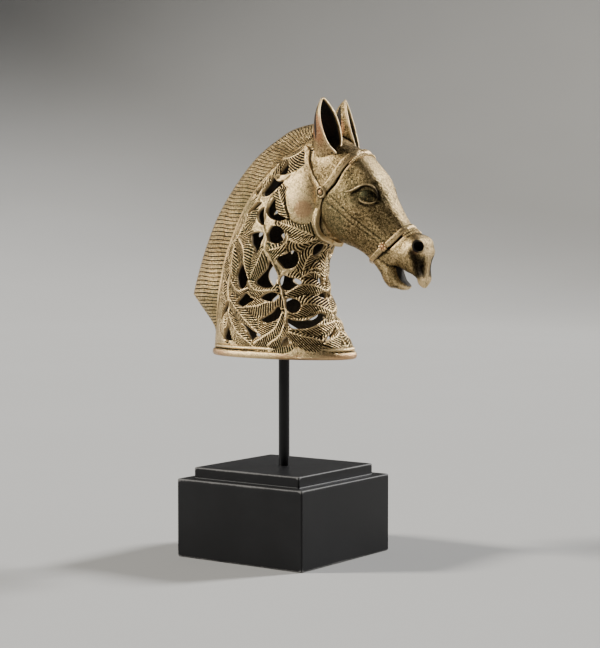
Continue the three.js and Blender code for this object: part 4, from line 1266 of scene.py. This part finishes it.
collar = dict(
    centre=-0.5, length=59.6, width=31.6, around=320, across=60, wander=[(0.12, 3, 1), (0.08, 7, 0)],
    profile=[(-3.2, 0), (-0.4, 0), (0.4, 0.5), (0.95, 1.5), (1.0, 2.6), (0.7, 3.9), (0.1, 4.7), (-0.9, 5.1),
             (-1.5, 5.4), (-1.1, 5.9), (-0.55, 6.4), (-0.45, 7.1), (-0.8, 7.8), (-1.6, 8.4), (-2.6, 8.7),
             (-3.4, 8.4), (-3.6, 6), (-3.6, 2)],   # (out, up) from the ellipse
    ruddy=0.75, rub=0.45, lowRubAndHighlight=0.5, lowFrom=(-5, -3.5),
)


# x = centre + (length + out) cos a,  y = (width + out) sin a, with the profile's height wandering a little round it
def buildCollar():
    c = collar
    a = aroundFull(c["around"])
    out, height = smoothPath(c["profile"], c["across"], closed=True).T[:, None]
    wander = sum(size * np.sin(times * a + start) for size, times, start in c["wander"])
    ring = np.stack(np.broadcast_arrays(
        c["centre"] + (c["length"] + out) * np.cos(a)[:, None], (c["width"] + out) * np.sin(a)[:, None],
        height + wander[:, None] * ease(height, 1, 4)), -1)
    thing = castOf("collar", [tyre(ring)])
    low = np.broadcast_to(ease(-height, *c["lowFrom"]), ring.shape[:2]).ravel()
    # the lower bead is ruddy, and the rub mark lifts the collar bright, most on the lower bead: rubbed bright and
    # painted highlight
    setMarks(thing, ruddy=low * c["ruddy"], rub=c["rub"] + low * c["lowRubAndHighlight"])
    markWearAndPaintedLight(thing, spread=4, scale=0.3)
    return thing


# (r cos a, r sin a, z) for the profile's (r, z)
def turned(profile, count=48):
    a = aroundFull(count)
    return lofted(np.array([np.stack([r * np.cos(a), r * np.sin(a), z + 0 * a], -1) for r, z in profile]))


# A square ring with round corners: corner = radius (cos a, sin a) + (half - radius), turned four times, and the
# sides between them in cosine steps
def squareRing(half, radius, z, count=9, sideSteps=30):
    a = np.linspace(0, np.pi / 2, count)
    corner = np.stack([np.cos(a), np.sin(a)], -1) * radius + (half - radius)
    turns = [np.array([[np.cos(q), -np.sin(q)], [np.sin(q), np.cos(q)]]) for q in np.arange(4) * np.pi / 2]
    steps = (1 - np.cos(np.pi * np.linspace(0, 1, sideSteps)[1:-1])) / 2
    flat = []
    for k, turn in enumerate(turns):
        here, following = corner @ turn.T, corner @ turns[(k + 1) % 4].T
        flat += [here, here[-1] + (following[0] - here[-1]) * steps[:, None]]
    flat = np.concatenate(flat)
    return np.column_stack([flat, np.full(len(flat), z)])


base = dict(
    blockHalf=55.5, blockHeight=57.0, slabHalf=46.7, slabHeight=8.0, edge=0.9, corner=1.2, bore=4.3,
    upShares=(0.04, 0.1, 0.3, 0.5, 0.7, 0.9, 0.96, 1), bevel=(22, 45, 68, 90), foot=0.6, step=0.4,
    inShares=(0.06, 0.2, 0.4, 0.6, 0.8, 0.93, 1), boreDepths=(0.3, 6, 18, 30.3), edgeWorn=3, cornerWorn=3.5,
    cornerShare=0.6,
)


# Square rings up the block, in along the ledge and up the slab, each tier with a round bevel of e (1 - cos, sin);
# then from the square to the bore's circle and down it; worn along the bevels and the upright corners
def buildBase():
    b, e = base, base["edge"]
    top = b["blockHeight"] + b["slabHeight"]
    ledge = b["blockHeight"] + b["step"]

    def tier(half, start, low, high):
        rows = [(half, start + (high - start - e) * s) for s in b["upShares"]]
        return [(half, low)] + rows + [(half - e * (1 - np.cos(a)), high - e + e * np.sin(a))
                                       for a in np.radians(b["bevel"])]
    rows = [(b["blockHalf"] - e - b["foot"], 0), (b["blockHalf"] - e * 0.3, e * 0.3)]
    rows += tier(b["blockHalf"], 0, e, b["blockHeight"])
    rows += [(w, b["blockHeight"]) for w in np.linspace(b["blockHalf"] - e - 1.2, b["slabHalf"] + b["step"], 5)]
    rows += tier(b["slabHalf"], ledge, ledge, top)
    outer = np.array([squareRing(w, min(b["corner"], w * 0.5), z) for w, z in rows])
    last = outer[-1]
    angle = np.arctan2(last[:, 1], last[:, 0])
    circle = np.stack([b["bore"] * np.cos(angle), b["bore"] * np.sin(angle), 0 * angle + top], -1)
    rings = np.concatenate([outer, [last + (circle - last) * s for s in b["inShares"]],
                            [circle - [0, 0, d] for d in b["boreDepths"]]])
    thing = meshOf("plinth", [lofted(rings)])
    flat = np.abs(outer[:, :, :2])
    level, half = outer[:, 0, 2], flat.max((1, 2))
    edges = [(b["blockHalf"], 0.0), (b["blockHalf"], b["blockHeight"]), (b["slabHalf"], top)]
    near = np.max([ease(b["edgeWorn"] - np.hypot(half - w, level - z), 0, b["edgeWorn"]) for w, z in edges], 0)
    corner = (ease(b["cornerWorn"] - (half[:, None] - flat.min(2)), 0, b["cornerWorn"])
              * (flat.max(2) > half[:, None] - 0.2))
    wornAndPaintedLight = np.zeros(rings.shape[:2])
    wornAndPaintedLight[:len(outer)] = np.clip(near[:, None] + b["cornerShare"] * corner, 0, 1)
    setMarks(thing, wear=np.append(wornAndPaintedLight, [0, 0]))
    return thing


rod = dict(radius=4.0, low=35.0, high=155.3, rows=60, ends=[(0.6, 0), (0.2, 0.2)])   # ends: (in, along)


# A turned bar with a small bevel at each end
def buildRod():
    r, low, high = rod["radius"], rod["low"], rod["high"]
    profile = [(r - d, low + z) for d, z in rod["ends"]]
    profile += [(r, z) for z in np.linspace(low + 0.6, high - 0.6, rod["rows"])]
    profile += [(r - d, high - z) for d, z in rod["ends"][::-1]]
    thing = meshOf("rod", [turned(profile)])
    markWearAndPaintedLight(thing, spread=2, scale=0.3)
    return thing


seat = dict(barWidth=14.0, barThick=4.0, clearance=0.3, bore=4.3, wall=3.7, depth=10.3, roof=3.0, reach=29.8)


# The seat inside the foot: a turned boss with a blind bore and a rounded bar on either side of it
def buildSeat():
    s = seat
    low, outer = s["clearance"], s["bore"] + s["wall"]
    roof = low + s["depth"]
    top = roof + s["roof"]
    parts = [turned([(0.5, roof), (s["bore"], roof), (s["bore"], low), (s["bore"] + 0.4, low), (outer - 0.5, low),
                     (outer, low + 0.5), (outer, top - 1), (outer - 0.5, top - 0.3), (outer - 1.2, top), (0.5, top)])]
    thick = s["barThick"] / 2
    for sign in (-1, 1):
        run = np.linspace(outer - 1.5, s["reach"], 20) * sign
        path = np.stack([0 * run, run, 0 * run + low + thick], -1)
        up = np.tile([0, 0, 1.0], (len(run), 1))
        parts.append(carried(path, up, ovalProfile(s["barWidth"] / 2, thick, thick, 28)))
    thing = castOf("rod_seat", parts)
    markWearAndPaintedLight(thing, spread=2, scale=0.3)
    return thing


print("finishes")
# rim_bronze is lifted brighter on the lids and the ears' beads: rubbed bright and partly a painted highlight;
# eye_bronze is a darker tone
finishes = dict(
    cast=bronzeFinish("cast_bronze"), leaf=bronzeFinish("leaf_bronze", leaves=True),
    mane=bronzeFinish("mane_bronze", strands=True), strap=bronzeFinish("strap_bronze", toneLift=0.04),
    rim=bronzeFinish("rim_bronze", toneLift=0.25), eye=bronzeFinish("eye_bronze", toneLift=-0.52),
    wood=blackFinish("black_stained_wood", black["wood"]), paint=blackFinish("black_painted_metal", black["paint"]),
)

print("casting")
for thing in buildNeck():
    finished(thing, "horse_head", finishes["leaf"], sharp=50)
for build, look, sharp in ((buildHead, "cast", None), (buildHalter, "strap", 60), (buildRims, "rim", 60),
                           (buildEyes, "eye", 60), (buildMane, "mane", 60), (buildCollar, "cast", None),
                           (buildSeat, "cast", 50)):
    finished(build(), "horse_head", finishes[look], sharp)

print("stand")
finished(buildRod(), "support_rod", finishes["paint"], sharp=50)
finished(buildBase(), "stepped_base", finishes["wood"], sharp=60)


# Stage, light and camera

backdrop = dict(flat=3000, reach=3000, edge=6060, height=1700, thick=60, inner=400, behind=126, fade=(-0.1, 0.45),
                tones=((0.52, 0.515, 0.50), (0.55, 0.545, 0.53)), roughness=0.9)


# r = flat + reach sin v,  z = height (1 - cos v) behind the object, lowered to nothing toward the sides
def buildFloor():
    b = backdrop
    a = aroundFull(128)
    up = np.linspace(0, np.pi / 2, 40)
    rise = [(b["flat"] + b["reach"] * np.sin(v), b["height"] * (1 - np.cos(v))) for v in up]
    outline = [(b["flat"], -b["thick"]), (b["edge"], -b["thick"]), (b["edge"], b["height"])] + rise[::-1]
    tall = ease(np.cos(a - np.radians(b["behind"])), *b["fade"])
    rings = [np.stack([r * np.cos(a), r * np.sin(a), z * tall if z > 0 else z + 0 * a], -1)
             for r, z in outline + [(b["inner"], 0)]]
    floor = meshOf("floor", [lofted(np.array(rings))])
    floor.data.polygons.foreach_set("use_smooth", np.ones(len(floor.data.polygons), bool))
    floor.data.set_sharp_from_angle(angle=np.radians(40))
    f = Finish("pale_floor")
    tone = f.mix(f.noise(3, 2, 0.5), *b["tones"])
    floor.data.materials.append(f.done(Base_Color=tone, Roughness=b["roughness"], Specular_IOR_Level=0.0))


# sun lamps: from where, power, colour, size in degrees; the room: its light, and how much darker it is overhead and
# on the side where the viewer stands
lights = dict(
    key=((-0.80, -0.62, 0.56), 4.0, (1, 0.97, 0.91), 10), rim=((0.44, 0.76, 0.50), 4.6, (1, 1, 1), 12),
    aim=(0.02, 0, 0.22), room=(0.93, 0.95, 1.0), level=0.30, overhead=0.20, overheadFrom=(0.05, 0.6),
    viewer=(0.56, -0.80, 0.0), viewerShare=0.75, viewerFrom=(0.0, 0.85),
)


# An object at a spot, its axes right, up and back
def stood(name, data, spot, right, up, back):
    thing = bpy.data.objects.new(name, data)
    bpy.context.scene.collection.objects.link(thing)
    turn = Matrix(np.column_stack([right, up, back]).tolist()).to_4x4()
    turn.translation = spot
    thing.matrix_world = turn
    return thing


# A sun lamp that looks at the aim: back = toward / |toward|, right = up x back
def lamp(name):
    toward, power, colour, size = lights[name]
    light = bpy.data.lights.new(name, "SUN")
    light.energy, light.color, light.angle = power, colour, np.radians(size)
    back = unit(np.array(toward, float))
    right = unit(np.cross([0, 0, 1.0], back))
    stood(name, light, np.array(lights["aim"]) + toward, right, np.cross(back, right), back)


# strength = (level - overhead * between(height)) * (1 - viewerShare * between(direction . viewer))
def studio():
    s = lights
    world = bpy.data.worlds.new("studio")
    bpy.context.scene.world = world
    world.use_nodes = True
    f = Finish(tree=world.node_tree, place="Generated")
    toward = f.node("ShaderNodeVectorMath", dict(operation="DOT_PRODUCT"), {0: f.here, 1: s["viewer"]}, out="Value")
    height = f.node("ShaderNodeSeparateXYZ", None, {0: f.here}, out="Z")
    strength = ((s["level"] - s["overhead"] * f.between(height, *s["overheadFrom"]))
                * (1 - s["viewerShare"] * f.between(toward, *s["viewerFrom"])))
    back = f.node("ShaderNodeBackground", None, {"Color": s["room"], "Strength": strength})
    f.node("ShaderNodeOutputWorld", None, {"Surface": back})
    lamp("key")
    lamp("rim")


view = dict(distance=1.2938, height=0.2358, turn=36.07, pan=0.009, dip=0.0520, lens=98.7, film=36.0)


# The photograph's viewing angle: away = (-sin turn, cos turn), then a small pan and dip
def buildCamera():
    v = view
    t = np.radians(v["turn"])
    right, away, up = np.array([np.cos(t), np.sin(t), 0]), np.array([-np.sin(t), np.cos(t), 0]), np.array([0, 0, 1.0])
    side = np.cos(v["pan"]) * right - np.sin(v["pan"]) * away
    ahead = np.sin(v["pan"]) * right + np.cos(v["pan"]) * away
    forward = np.cos(v["dip"]) * ahead - np.sin(v["dip"]) * up
    over = np.sin(v["dip"]) * ahead + np.cos(v["dip"]) * up
    lens = bpy.data.cameras.new("camera")
    lens.lens, lens.sensor_width, lens.sensor_fit, lens.clip_end = v["lens"], v["film"], "AUTO", 50
    bpy.context.scene.camera = stood("camera", lens, -v["distance"] * away + v["height"] * up, side, over, -forward)


print("stage, lights and camera")
buildFloor()
studio()
buildCamera()
